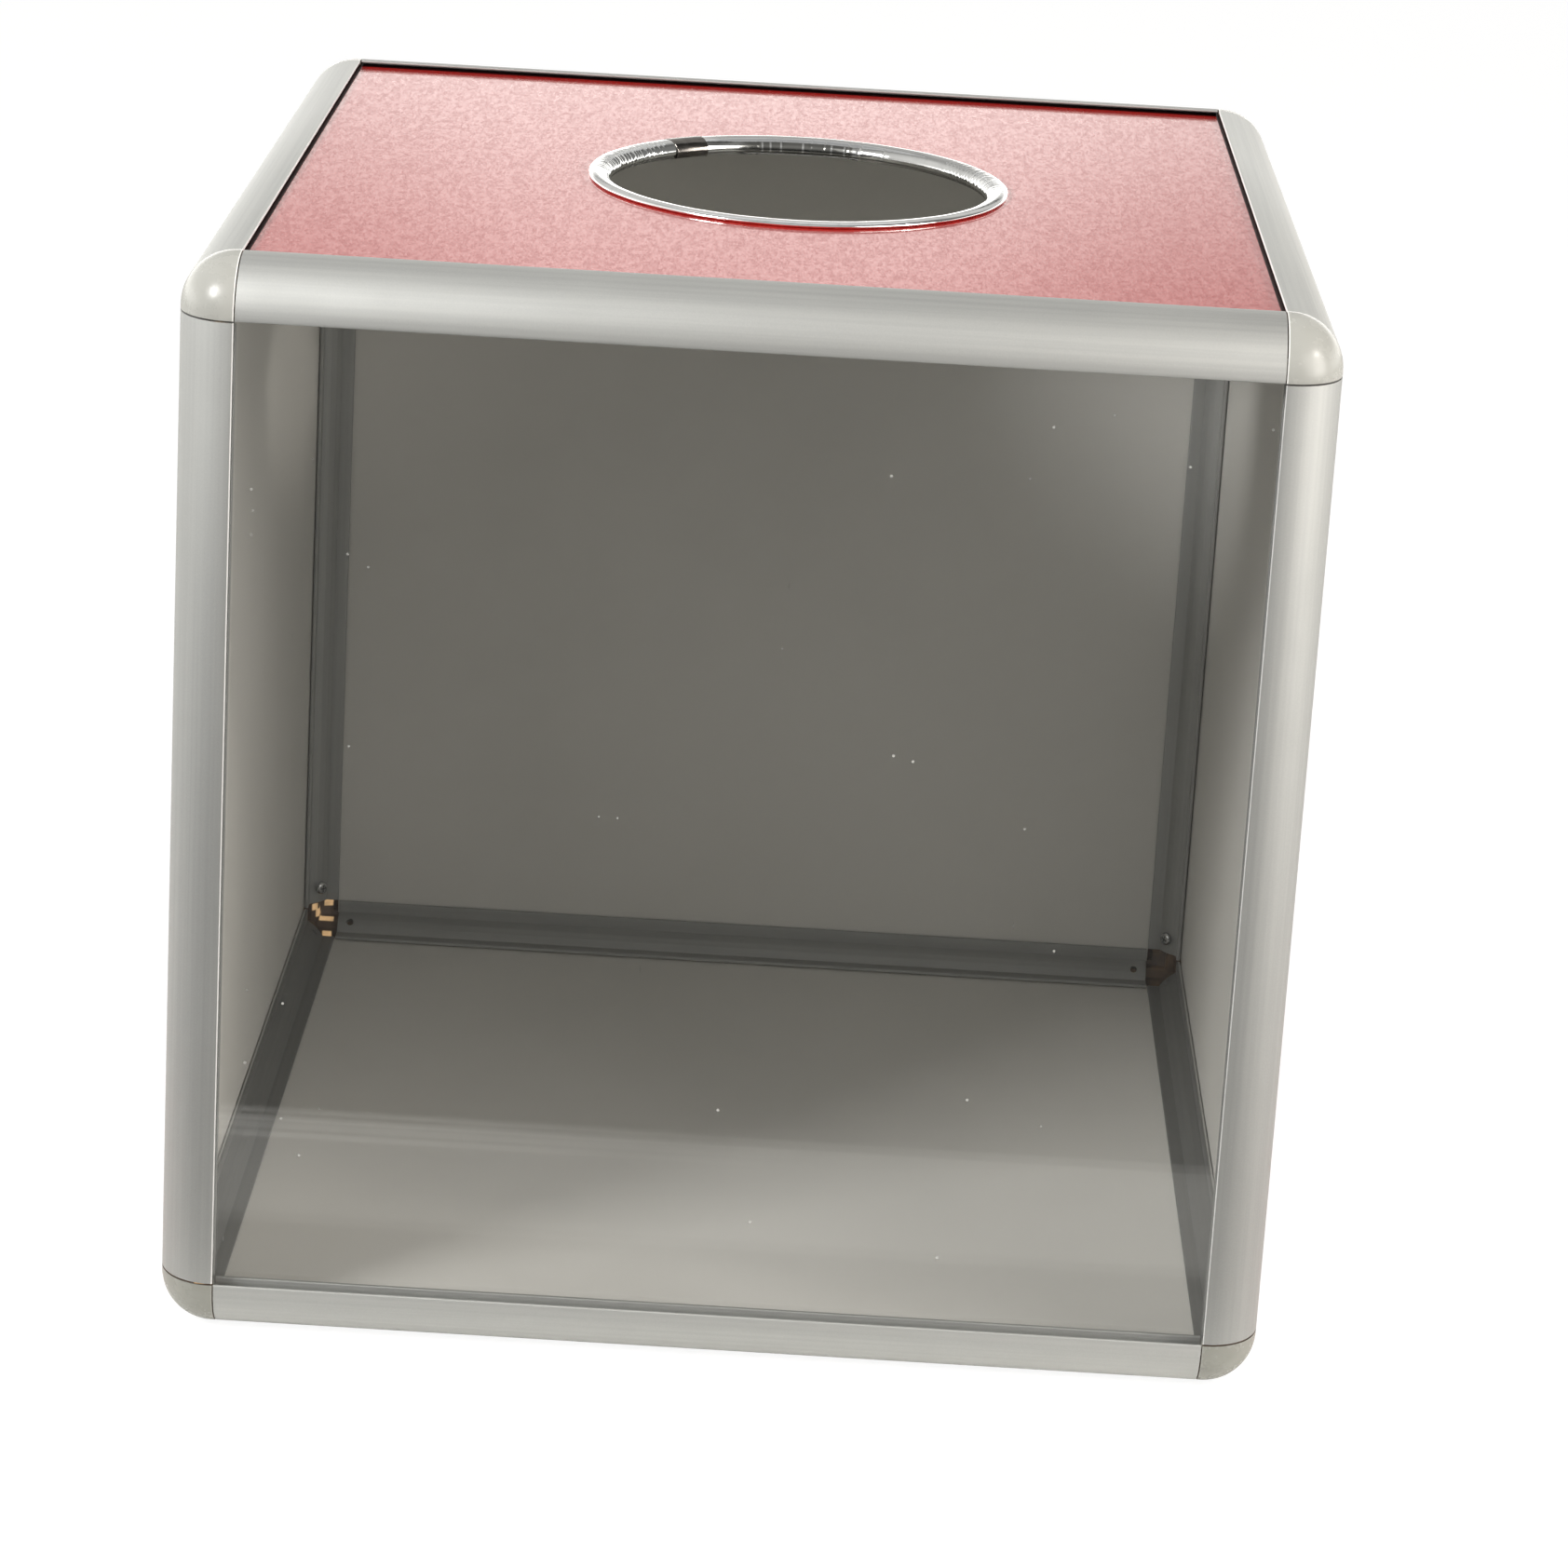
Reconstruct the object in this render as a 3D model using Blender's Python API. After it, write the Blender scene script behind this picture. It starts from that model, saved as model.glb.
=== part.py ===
"""Raffle box: six sheets held in grooved edge rails that three-way corner mouldings join.

Frame: metres, +Z up. The origin is on the standing surface below the middle of the box.
The clear front faces -Y, and +X is on the right of someone who looks at that front.
"""

from math import cos, pi, radians, sin, sqrt

import bmesh
import bpy
from mathutils import Matrix, Vector

# Overall size of the box over its rails.
BOX_WIDTH = 0.280
BOX_DEPTH = 0.280
BOX_HEIGHT = 0.280

# Clearances between pieces.
FIT_GAP = 0.0003
SEAM_GAP = 0.0003
CUT_OVERRUN = 0.001

# Sheets that close the six sides.
SHEET_THICKNESS = 0.0030
SHEET_TUCK = 0.0015

# Edge rail section, the same for rails and posts.
RAIL_REACH = 0.0145
RAIL_LAND = 0.0010
LIP_THICKNESS = 0.0014
GROOVE_DEPTH = 0.0045
FLANGE_THICKNESS = 0.0011
FLANGE_SHOWING = 0.0036
RAIL_WALL = 0.0010
RIDGE_RISE = 0.0004
RIDGE_BAND_SHARE = 0.30
ARC_STEPS = 10

# Holes drilled through the inner face near each end of a rail.
RAIL_HOLE_RADIUS = 0.00105
RAIL_HOLE_INSET = 0.0038
HOLE_STEPS = 12

# Three-way corner moulding.
CORNER_THICKENING = 0.0005
LEG_LENGTH = 0.0130
LEG_TAPER = 0.0012
LEG_ROOT_SHARE = 0.35

# Pan head screw that holds a post on its corner leg.
SCREW_INSET = 0.0050
SCREW_SHANK_RADIUS = 0.0011
SCREW_SHANK_LENGTH = 0.0045
SCREW_TIP_LENGTH = 0.0008
SCREW_HEAD_RADIUS = 0.0020
SCREW_HEAD_HEIGHT = 0.0013
SCREW_STEPS = 16
SCREW_DOME_STEPS = 4

# Round hand hole in the top sheet. The real one sits a little off the middle.
HAND_HOLE_RADIUS = 0.0513
HAND_HOLE_SHIFT_X = 0.0055
HAND_HOLE_SHIFT_Y = -0.0025
HAND_HOLE_STEPS = 64

# Edging strip bent round the hand hole, and the sleeve over its two ends.
TRIM_THICKNESS = 0.0006
TRIM_COVER = 0.0044
TRIM_ROUNDING = 0.0005
TRIM_END_GAP = 0.0006
TRIM_STEPS = 60
SLEEVE_BEARING = radians(127)
SLEEVE_LENGTH = 0.0095
SLEEVE_THICKNESS = 0.0005
SLEEVE_STEPS = 4

MERGE_DISTANCE = 0.00001
SMOOTH_ANGLE = radians(35)

X_AXIS = Vector((1, 0, 0))
Y_AXIS = Vector((0, 1, 0))
Z_AXIS = Vector((0, 0, 1))

# Sizes worked out from the ones above, measured in from the box's outer faces.
RAIL_ROUNDING = RAIL_REACH - RAIL_LAND
GROOVE_WIDTH = SHEET_THICKNESS + FIT_GAP + FIT_GAP
GROOVE_BOTTOM = RAIL_REACH - GROOVE_DEPTH
FLANGE_TOP = LIP_THICKNESS + GROOVE_WIDTH + FLANGE_THICKNESS
FACET_START = RAIL_REACH - FLANGE_SHOWING
SHEET_FACE = LIP_THICKNESS + FIT_GAP
SHEET_EDGE = GROOVE_BOTTOM + FIT_GAP
SHEET_NOTCH = RAIL_REACH - SHEET_TUCK
RAIL_START = RAIL_REACH + SEAM_GAP

# Distances from a rail's outer edge line, along the diagonal that halves its section.
FACET_PLANE = (FACET_START + FLANGE_TOP) / sqrt(2)
SCREW_SEAT = FACET_PLANE + RIDGE_RISE


def clear_scene():
    """Remove every object that the scene starts with."""
    for item in list(bpy.data.objects):
        bpy.data.objects.remove(item, do_unlink=True)


# Finishes


def finish(name, colour, roughness, metallic, alpha=1.0):
    """Make a Principled material with one colour."""
    material = bpy.data.materials.new(name)
    material.use_nodes = True
    shader = material.node_tree.nodes["Principled BSDF"]
    shader.inputs["Base Color"].default_value = (*colour, 1.0)
    shader.inputs["Roughness"].default_value = roughness
    shader.inputs["Metallic"].default_value = metallic
    shader.inputs["Alpha"].default_value = alpha
    material.diffuse_color = (*colour, alpha)
    return material


def anodised_aluminium():
    return finish("satin_anodised_aluminium", (0.62, 0.63, 0.62), 0.38, 0.9)


def corner_plastic():
    return finish("corner_plastic", (0.53, 0.51, 0.44), 0.32, 0.0)


def red_sheet():
    return finish("red_composite_sheet", (0.60, 0.03, 0.035), 0.35, 0.0)


def clear_sheet():
    return finish("clear_acrylic", (0.93, 0.94, 0.92), 0.05, 0.0, 0.25)


def bright_edging():
    return finish("bright_edging", (0.80, 0.81, 0.82), 0.12, 1.0)


def dark_sleeve():
    return finish("dark_steel", (0.24, 0.22, 0.21), 0.30, 1.0)


def screw_steel():
    return finish("screw_steel", (0.38, 0.39, 0.40), 0.30, 1.0)


# Mesh helpers


def add_object(name, mesh, material, placement, root):
    """Put a mesh in the scene under the root, at a 4x4 placement."""
    item = bpy.data.objects.new(name, mesh)
    if not mesh.materials:
        mesh.materials.append(material)
    bpy.context.collection.objects.link(item)
    item.location = placement.to_translation()
    item.rotation_euler = placement.to_euler()
    item.parent = root
    return item


def place(origin, first, second):
    """Placement whose local X and Y run along two square directions."""
    third = first.cross(second)
    return Matrix.Translation(origin) @ Matrix((first, second, third)).transposed().to_4x4()


def finished_mesh(name, shape):
    """Turn a bmesh into a closed mesh with outward faces and smooth round parts."""
    bmesh.ops.recalc_face_normals(shape, faces=shape.faces)
    mesh = bpy.data.meshes.new(name)
    shape.to_mesh(mesh)
    shape.free()
    mesh.shade_smooth()
    mesh.set_sharp_from_angle(angle=SMOOTH_ANGLE)
    return mesh


def filled(loops):
    """Flat face or faces inside closed outlines in XY. Later outlines are holes."""
    shape = bmesh.new()
    edges = []
    for loop in loops:
        corners = [shape.verts.new((x, y, 0)) for x, y in loop]
        for corner, following in zip(corners, corners[1:] + corners[:1]):
            edges.append(shape.edges.new((corner, following)))
    bmesh.ops.triangle_fill(shape, edges=edges, use_beauty=True)
    return shape


def extruded(loops, start, end):
    """Prism of closed outlines in XY that runs from start to end along Z."""
    shape = filled(loops)
    bmesh.ops.translate(shape, verts=shape.verts, vec=Z_AXIS * start)
    grown = bmesh.ops.extrude_face_region(shape, geom=shape.faces[:])
    moved = [piece for piece in grown["geom"] if isinstance(piece, bmesh.types.BMVert)]
    bmesh.ops.translate(shape, verts=moved, vec=Z_AXIS * (end - start))
    return shape


def swept(section, angle, steps, start_angle):
    """Closed section in (radius, height), swept about Z from a start angle."""
    shape = filled([section])
    bmesh.ops.rotate(shape, verts=shape.verts, cent=(0, 0, 0), matrix=Matrix.Rotation(pi / 2, 3, "X"))
    bmesh.ops.rotate(shape, verts=shape.verts, cent=(0, 0, 0), matrix=Matrix.Rotation(start_angle, 3, "Z"))
    bmesh.ops.spin(
        shape, geom=shape.verts[:] + shape.edges[:] + shape.faces[:], cent=(0, 0, 0), axis=Z_AXIS,
        angle=angle, steps=steps, use_duplicate=False,
    )
    return shape


def turned(section, steps):
    """Solid of revolution about Z. The section runs from the axis back to the axis."""
    shape = bmesh.new()
    corners = [shape.verts.new((radius, 0, height)) for radius, height in section]
    edges = [shape.edges.new(pair) for pair in zip(corners, corners[1:])]
    bmesh.ops.spin(
        shape, geom=corners + edges, cent=(0, 0, 0), axis=Z_AXIS, angle=pi + pi, steps=steps, use_merge=True,
    )
    bmesh.ops.remove_doubles(shape, verts=shape.verts, dist=MERGE_DISTANCE)
    return shape


def arc(centre, radius, start, end, steps):
    """Points of a circle's arc, both ends included."""
    angles = [start + (end - start) * step / steps for step in range(steps + 1)]
    return [(centre + radius * cos(angle), centre + radius * sin(angle)) for angle in angles]


def circle(centre_x, centre_y, radius, steps):
    """Points of a whole circle."""
    angles = [(pi + pi) * step / steps for step in range(steps)]
    return [(centre_x + radius * cos(angle), centre_y + radius * sin(angle)) for angle in angles]


def combined(mesh, tools):
    """Cut and join a mesh with (operation, bmesh) tools, and return the result."""
    worked = bpy.data.objects.new("worked", mesh)
    bpy.context.collection.objects.link(worked)
    helpers = [worked]
    for number, (operation, shape) in enumerate(tools):
        helper = bpy.data.objects.new("tool_%d" % number, finished_mesh("tool", shape))
        helper.hide_render = True
        helper.display_type = "WIRE"
        bpy.context.collection.objects.link(helper)
        helpers.append(helper)
        step = worked.modifiers.new("step_%d" % number, "BOOLEAN")
        step.operation = operation
        step.solver = "EXACT"
        step.object = helper
    graph = bpy.context.evaluated_depsgraph_get()
    result = bpy.data.meshes.new_from_object(worked.evaluated_get(graph))
    result.name = mesh.name
    for helper in helpers:
        bpy.data.objects.remove(helper, do_unlink=True)
    result.materials.clear()
    result.shade_smooth()
    result.set_sharp_from_angle(angle=SMOOTH_ANGLE)
    return result


# Edge rails


def rail_outline():
    """Outside of the rail section: quarter round, two sheet grooves, ridged inner face."""
    slot_top = LIP_THICKNESS + GROOVE_WIDTH
    lower_half = [
        (RAIL_REACH, 0.0),
        (RAIL_REACH, LIP_THICKNESS),
        (GROOVE_BOTTOM, LIP_THICKNESS),
        (GROOVE_BOTTOM, slot_top),
        (RAIL_REACH, slot_top),
        (RAIL_REACH, FLANGE_TOP),
        (FACET_START, FLANGE_TOP),
        ridge_corner(),
    ]
    upper_half = [(second, first) for first, second in reversed(lower_half)]
    round_face = arc(RAIL_ROUNDING, RAIL_ROUNDING, pi, pi * 3 / 2, ARC_STEPS)
    return round_face + lower_half + upper_half


def ridge_corner():
    """Crease of the inner face where its middle band begins, on the lower half."""
    middle = (FACET_PLANE + RIDGE_RISE) / sqrt(2)
    half_band = (FACET_START - FLANGE_TOP) * RIDGE_BAND_SHARE / 2
    return (middle + half_band, middle - half_band)


def hollow_outline(inset):
    """Hollow of the rail section, or what fits inside it with an inset all round."""
    radius = RAIL_ROUNDING - RAIL_WALL - inset
    side = GROOVE_BOTTOM - RAIL_WALL - inset
    diagonal = (FACET_PLANE - RAIL_WALL - inset) * sqrt(2)
    drop = RAIL_ROUNDING - sqrt(radius ** 2 - (RAIL_ROUNDING - side) ** 2)
    start = Vector((side - RAIL_ROUNDING, drop - RAIL_ROUNDING))
    half_sweep = Vector((-1, -1)).angle(start)
    round_side = arc(
        RAIL_ROUNDING, radius, pi * 5 / 4 - half_sweep, pi * 5 / 4 + half_sweep, ARC_STEPS,
    )
    if diagonal < side + side:
        return round_side + [(side, diagonal - side), (diagonal - side, side)]
    return round_side + [(side, side)]


def diagonal_drill(radius, bottom, top, height):
    """Round cutter along the diagonal that halves the section, at a height on the rail."""
    shape = extruded([circle(0, 0, radius, HOLE_STEPS)], bottom, top)
    bmesh.ops.rotate(shape, verts=shape.verts, cent=(0, 0, 0), matrix=diagonal_turn())
    bmesh.ops.translate(shape, verts=shape.verts, vec=Z_AXIS * height)
    return shape


def diagonal_turn():
    """Rotation that lays local Z along the diagonal between local X and Y."""
    return (X_AXIS + Y_AXIS).to_track_quat("Z", "Y").to_matrix()


def rail_mesh(name, span, hole_radius, hole_inset):
    """Rail or post for a box side of this span, drilled near both ends."""
    half_length = span / 2 - RAIL_START
    body = extruded([rail_outline(), hollow_outline(0.0)], -half_length, half_length)
    bottom = FACET_PLANE - RAIL_WALL - CUT_OVERRUN
    top = SCREW_SEAT + CUT_OVERRUN
    drills = []
    for end in (-1, 1):
        height = end * (half_length - hole_inset)
        drills.append(("DIFFERENCE", diagonal_drill(hole_radius, bottom, top, height)))
    return combined(finished_mesh(name, body), drills)


def add_rails(root):
    """Four rails along X, four along Y and the four posts."""
    metal = anodised_aluminium()
    middle = Z_AXIS * (BOX_HEIGHT / 2)
    half_x = X_AXIS * (BOX_WIDTH / 2)
    half_y = Y_AXIS * (BOX_DEPTH / 2)
    half_z = Z_AXIS * (BOX_HEIGHT / 2)
    cross_rail = rail_mesh("cross_rail", BOX_WIDTH, RAIL_HOLE_RADIUS, RAIL_HOLE_INSET)
    side_rail = rail_mesh("side_rail", BOX_DEPTH, RAIL_HOLE_RADIUS, RAIL_HOLE_INSET)
    post = rail_mesh("post", BOX_HEIGHT, SCREW_SHANK_RADIUS + FIT_GAP, SCREW_INSET)
    for depth_name, depth_side in (("front", -1), ("rear", 1)):
        for level_name, level in (("bottom", -1), ("top", 1)):
            edge_middle = middle + half_y * depth_side + half_z * level
            spot = place(edge_middle, Y_AXIS * -depth_side, Z_AXIS * -level)
            add_object("%s_%s_rail" % (depth_name, level_name), cross_rail, metal, spot, root)
    for hand_name, hand in (("left", -1), ("right", 1)):
        for level_name, level in (("bottom", -1), ("top", 1)):
            edge_middle = middle + half_x * hand + half_z * level
            spot = place(edge_middle, X_AXIS * -hand, Z_AXIS * -level)
            add_object("%s_%s_rail" % (hand_name, level_name), side_rail, metal, spot, root)
    for depth_name, depth_side in (("front", -1), ("rear", 1)):
        for hand_name, hand in (("left", -1), ("right", 1)):
            edge_middle = middle + half_x * hand + half_y * depth_side
            spot = place(edge_middle, X_AXIS * -hand, Y_AXIS * -depth_side)
            add_object("%s_%s_post" % (depth_name, hand_name), post, metal, spot, root)


# Corner mouldings


def rounded_block(start, size, rounding):
    """Cube from a start point, with its three edges at that point rounded into a ball."""
    shape = bmesh.new()
    bmesh.ops.create_cube(shape, size=size)
    bmesh.ops.translate(shape, verts=shape.verts, vec=Vector((1, 1, 1)) * (start + size / 2))
    near = start + size / 2
    round_edges = []
    for edge in shape.edges:
        ends = [end.co for end in edge.verts]
        low_axes = [axis for axis in range(3) if all(end[axis] < near for end in ends)]
        if len(low_axes) == 2:
            round_edges.append(edge)
    bmesh.ops.bevel(
        shape, geom=round_edges, offset=rounding, offset_type="OFFSET", segments=ARC_STEPS,
        profile=0.5, affect="EDGES", clamp_overlap=False,
    )
    bmesh.ops.remove_doubles(shape, verts=shape.verts, dist=MERGE_DISTANCE)
    return shape


def turned_to(shape, axis_number):
    """Turn a shape by thirds about the cap's long diagonal, so that its Z runs along an axis."""
    for _ in range((axis_number + 1) % 3):
        for point in shape.verts:
            point.co = point.co.zxy
    return shape


def corner_leg(axis_number):
    """Leg that slides into a rail's hollow, rooted inside the cap, with a tapered tip."""
    root_start = RAIL_REACH * LEG_ROOT_SHARE
    tip = RAIL_REACH + LEG_LENGTH
    outline = hollow_outline(FIT_GAP)
    shape = extruded([outline], root_start, tip - LEG_TAPER)
    end_faces = [face for face in shape.faces if all(point.co.z > tip - LEG_LENGTH for point in face.verts)]
    grown = bmesh.ops.extrude_face_region(shape, geom=end_faces)
    bmesh.ops.delete(shape, geom=end_faces, context="FACES")
    tip_points = [piece for piece in grown["geom"] if isinstance(piece, bmesh.types.BMVert)]
    centre = sum((point.co for point in tip_points), Vector()) / len(tip_points)
    widest = max((point.co - centre).length for point in tip_points)
    narrowing = 1 - LEG_TAPER / 2 / widest
    for point in tip_points:
        point.co = centre + (point.co - centre) * narrowing + Z_AXIS * LEG_TAPER
    return turned_to(shape, axis_number)


def corner_spider():
    """The three legs in one, kept inside the ball of the cap."""
    bound_start = LIP_THICKNESS / 2
    bound_size = RAIL_REACH + LEG_LENGTH + CUT_OVERRUN
    bound = rounded_block(bound_start, bound_size, RAIL_ROUNDING - bound_start)
    tools = [("UNION", corner_leg(0)), ("UNION", corner_leg(1)), ("INTERSECT", bound)]
    mesh = combined(finished_mesh("spider", corner_leg(2)), tools)
    shape = bmesh.new()
    shape.from_mesh(mesh)
    return shape


def sheet_pocket(axis_number):
    """Space in the cap for the notched corner of the sheet square to an axis."""
    far = RAIL_REACH + CUT_OVERRUN
    notch = SHEET_NOTCH - FIT_GAP
    outline = [
        (notch, GROOVE_BOTTOM),
        (far, GROOVE_BOTTOM),
        (far, far),
        (GROOVE_BOTTOM, far),
        (GROOVE_BOTTOM, notch),
        (notch, notch),
    ]
    shape = extruded([outline], LIP_THICKNESS, LIP_THICKNESS + GROOVE_WIDTH)
    return turned_to(shape, axis_number)


def corner_mesh():
    """Ball corner cap with three legs. Its Z leg takes the screw of a post."""
    cap = rounded_block(0.0, RAIL_REACH, RAIL_ROUNDING)
    cavity_rounding = RAIL_ROUNDING + CORNER_THICKENING
    cavity = rounded_block(LIP_THICKNESS, RAIL_REACH + CUT_OVERRUN, cavity_rounding)
    screw_tip = SCREW_SEAT + FIT_GAP - SCREW_SHANK_LENGTH
    hole_radius = SCREW_SHANK_RADIUS + FIT_GAP
    hole_height = RAIL_START + SCREW_INSET
    tools = [("DIFFERENCE", cavity)]
    tools += [("DIFFERENCE", sheet_pocket(number)) for number in range(3)]
    tools += [("UNION", corner_spider())]
    tools += [("DIFFERENCE", diagonal_drill(hole_radius, screw_tip - FIT_GAP, FACET_PLANE, hole_height))]
    return combined(finished_mesh("corner", cap), tools)


def add_corners(root):
    """Eight equal corner mouldings, each turned to its own corner of the box."""
    plastic = corner_plastic()
    mesh = corner_mesh()
    for level_name, level in (("bottom", -1), ("top", 1)):
        for depth_name, depth_side in (("front", -1), ("rear", 1)):
            for hand_name, hand in (("left", -1), ("right", 1)):
                corner = Vector((hand * BOX_WIDTH, depth_side * BOX_DEPTH, (1 + level) * BOX_HEIGHT)) / 2
                first, second, upright = X_AXIS * -hand, Y_AXIS * -depth_side, Z_AXIS * -level
                if first.cross(second).dot(upright) < 0:
                    first, second = second, first
                name = "%s_%s_%s_corner" % (depth_name, hand_name, level_name)
                add_object(name, mesh, plastic, place(corner, first, second), root)


# Screws


def screw_mesh():
    """Pan head screw that points down -Z, with the underside of its head at Z = 0."""
    dome = [
        (SCREW_HEAD_RADIUS * cos(angle), SCREW_HEAD_HEIGHT * sin(angle))
        for angle in [pi / 2 * step / SCREW_DOME_STEPS for step in range(SCREW_DOME_STEPS, -1, -1)]
    ]
    dome[0] = (0.0, SCREW_HEAD_HEIGHT)
    section = dome + [
        (SCREW_SHANK_RADIUS, 0.0),
        (SCREW_SHANK_RADIUS, SCREW_TIP_LENGTH - SCREW_SHANK_LENGTH),
        (0.0, -SCREW_SHANK_LENGTH),
    ]
    return finished_mesh("screw", turned(section, SCREW_STEPS))


def add_screws(root):
    """One screw at each end of each post, square to the ridged inner face."""
    steel = screw_steel()
    mesh = screw_mesh()
    for level_name, level in (("bottom", -1), ("top", 1)):
        for depth_name, depth_side in (("front", -1), ("rear", 1)):
            for hand_name, hand in (("left", -1), ("right", 1)):
                inward = Vector((-hand, -depth_side, 0)).normalized()
                edge_line = Vector((hand * BOX_WIDTH / 2, depth_side * BOX_DEPTH / 2, 0))
                height = BOX_HEIGHT / 2 + level * (BOX_HEIGHT / 2 - RAIL_START - SCREW_INSET)
                spot = edge_line + inward * (SCREW_SEAT + FIT_GAP) + Z_AXIS * height
                turn = inward.to_track_quat("Z", "Y").to_matrix().to_4x4()
                name = "%s_%s_%s_screw" % (depth_name, hand_name, level_name)
                add_object(name, mesh, steel, Matrix.Translation(spot) @ turn, root)


# Sheets


def notched_outline(width, height):
    """Sheet outline for a box side of this size, with its four corners notched."""
    edge_x, edge_y = width / 2 - SHEET_EDGE, height / 2 - SHEET_EDGE
    notch_x, notch_y = width / 2 - SHEET_NOTCH, height / 2 - SHEET_NOTCH
    corner = [(edge_x, notch_y), (notch_x, notch_y), (notch_x, edge_y)]
    half = corner + [(-x, y) for x, y in reversed(corner)]
    return half + [(-x, -y) for x, y in half]


def sheet_mesh(name, width, height, holes):
    """Flat sheet whose outer face is at Z = 0 and whose inner face is below it."""
    loops = [notched_outline(width, height)] + holes
    return finished_mesh(name, extruded(loops, -SHEET_THICKNESS, 0.0))


def hand_hole_outline():
    return circle(HAND_HOLE_SHIFT_X, HAND_HOLE_SHIFT_Y, HAND_HOLE_RADIUS, HAND_HOLE_STEPS)


def add_sheets(root):
    """Red sheets at the top, bottom, back and sides, and the clear one in front."""
    red, clear = red_sheet(), clear_sheet()
    middle = Z_AXIS * (BOX_HEIGHT / 2)
    out_x = X_AXIS * (BOX_WIDTH / 2 - SHEET_FACE)
    out_y = Y_AXIS * (BOX_DEPTH / 2 - SHEET_FACE)
    out_z = Z_AXIS * (BOX_HEIGHT / 2 - SHEET_FACE)
    top = sheet_mesh("top_sheet", BOX_WIDTH, BOX_DEPTH, [hand_hole_outline()])
    floor = sheet_mesh("floor_sheet", BOX_WIDTH, BOX_DEPTH, [])
    front = sheet_mesh("front_sheet", BOX_WIDTH, BOX_HEIGHT, [])
    rear = sheet_mesh("rear_sheet", BOX_WIDTH, BOX_HEIGHT, [])
    left = sheet_mesh("left_sheet", BOX_DEPTH, BOX_HEIGHT, [])
    right = sheet_mesh("right_sheet", BOX_DEPTH, BOX_HEIGHT, [])
    add_object("top_panel", top, red, place(middle + out_z, X_AXIS, Y_AXIS), root)
    add_object("floor_panel", floor, red, place(middle - out_z, X_AXIS, -Y_AXIS), root)
    add_object("front_panel", front, clear, place(middle - out_y, X_AXIS, Z_AXIS), root)
    add_object("rear_panel", rear, red, place(middle + out_y, -X_AXIS, Z_AXIS), root)
    add_object("left_panel", left, red, place(middle - out_x, -Y_AXIS, Z_AXIS), root)
    add_object("right_panel", right, red, place(middle + out_x, Y_AXIS, Z_AXIS), root)


# Hand hole edging


def channel_section(web_radius, rim_radius, half_height, thickness, rounding):
    """Channel that opens away from the hole, as (radius, height) points about its middle."""
    outer = half_height + thickness
    upper_half = [
        (web_radius, half_height),
        (rim_radius, half_height),
        (rim_radius, outer - rounding / 2),
        (rim_radius - rounding / 2, outer),
        (web_radius - thickness + rounding, outer),
        (web_radius - thickness, outer - rounding),
    ]
    lower_half = [(radius, -height) for radius, height in reversed(upper_half)]
    return upper_half + lower_half


def add_hole_edging(root):
    """Edging strip bent into a ring, and the sleeve that covers where its ends meet."""
    middle = Vector((HAND_HOLE_SHIFT_X, HAND_HOLE_SHIFT_Y, BOX_HEIGHT - SHEET_FACE - SHEET_THICKNESS / 2))
    spot = Matrix.Translation(middle)
    web = HAND_HOLE_RADIUS - FIT_GAP
    rim = HAND_HOLE_RADIUS + TRIM_COVER
    inside = SHEET_THICKNESS / 2 + FIT_GAP
    strip = channel_section(web, rim, inside, TRIM_THICKNESS, TRIM_ROUNDING)
    end_angle = TRIM_END_GAP / web
    ring = swept(strip, pi + pi - end_angle, TRIM_STEPS, SLEEVE_BEARING + end_angle / 2)
    add_object("hole_edging", finished_mesh("edging", ring), bright_edging(), spot, root)
    sleeve_web = web - TRIM_THICKNESS - FIT_GAP
    sleeve_inside = inside + TRIM_THICKNESS + FIT_GAP
    wrap = channel_section(sleeve_web, rim, sleeve_inside, SLEEVE_THICKNESS, TRIM_ROUNDING)
    sleeve_angle = SLEEVE_LENGTH / rim
    cover = swept(wrap, sleeve_angle, SLEEVE_STEPS, SLEEVE_BEARING - sleeve_angle / 2)
    add_object("edging_sleeve", finished_mesh("sleeve", cover), dark_sleeve(), spot, root)


def main():
    clear_scene()
    root = bpy.data.objects.new("raffle_box", None)
    bpy.context.collection.objects.link(root)
    add_rails(root)
    add_corners(root)
    add_screws(root)
    add_sheets(root)
    add_hole_edging(root)


main()
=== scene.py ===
"""Looks of the raffle box: six sheets held in satin aluminium rails with moulded ball corners.

Metres, +Z up. The clear front faces -Y, and +X is on the right of someone who looks at that
front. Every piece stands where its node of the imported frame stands.
"""

import itertools
import logging
import math
import random
from dataclasses import dataclass, field
from enum import Enum
from typing import Callable, Iterable, Iterator, Optional, Sequence
import bmesh
import bpy
from mathutils import Matrix, Vector


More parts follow.
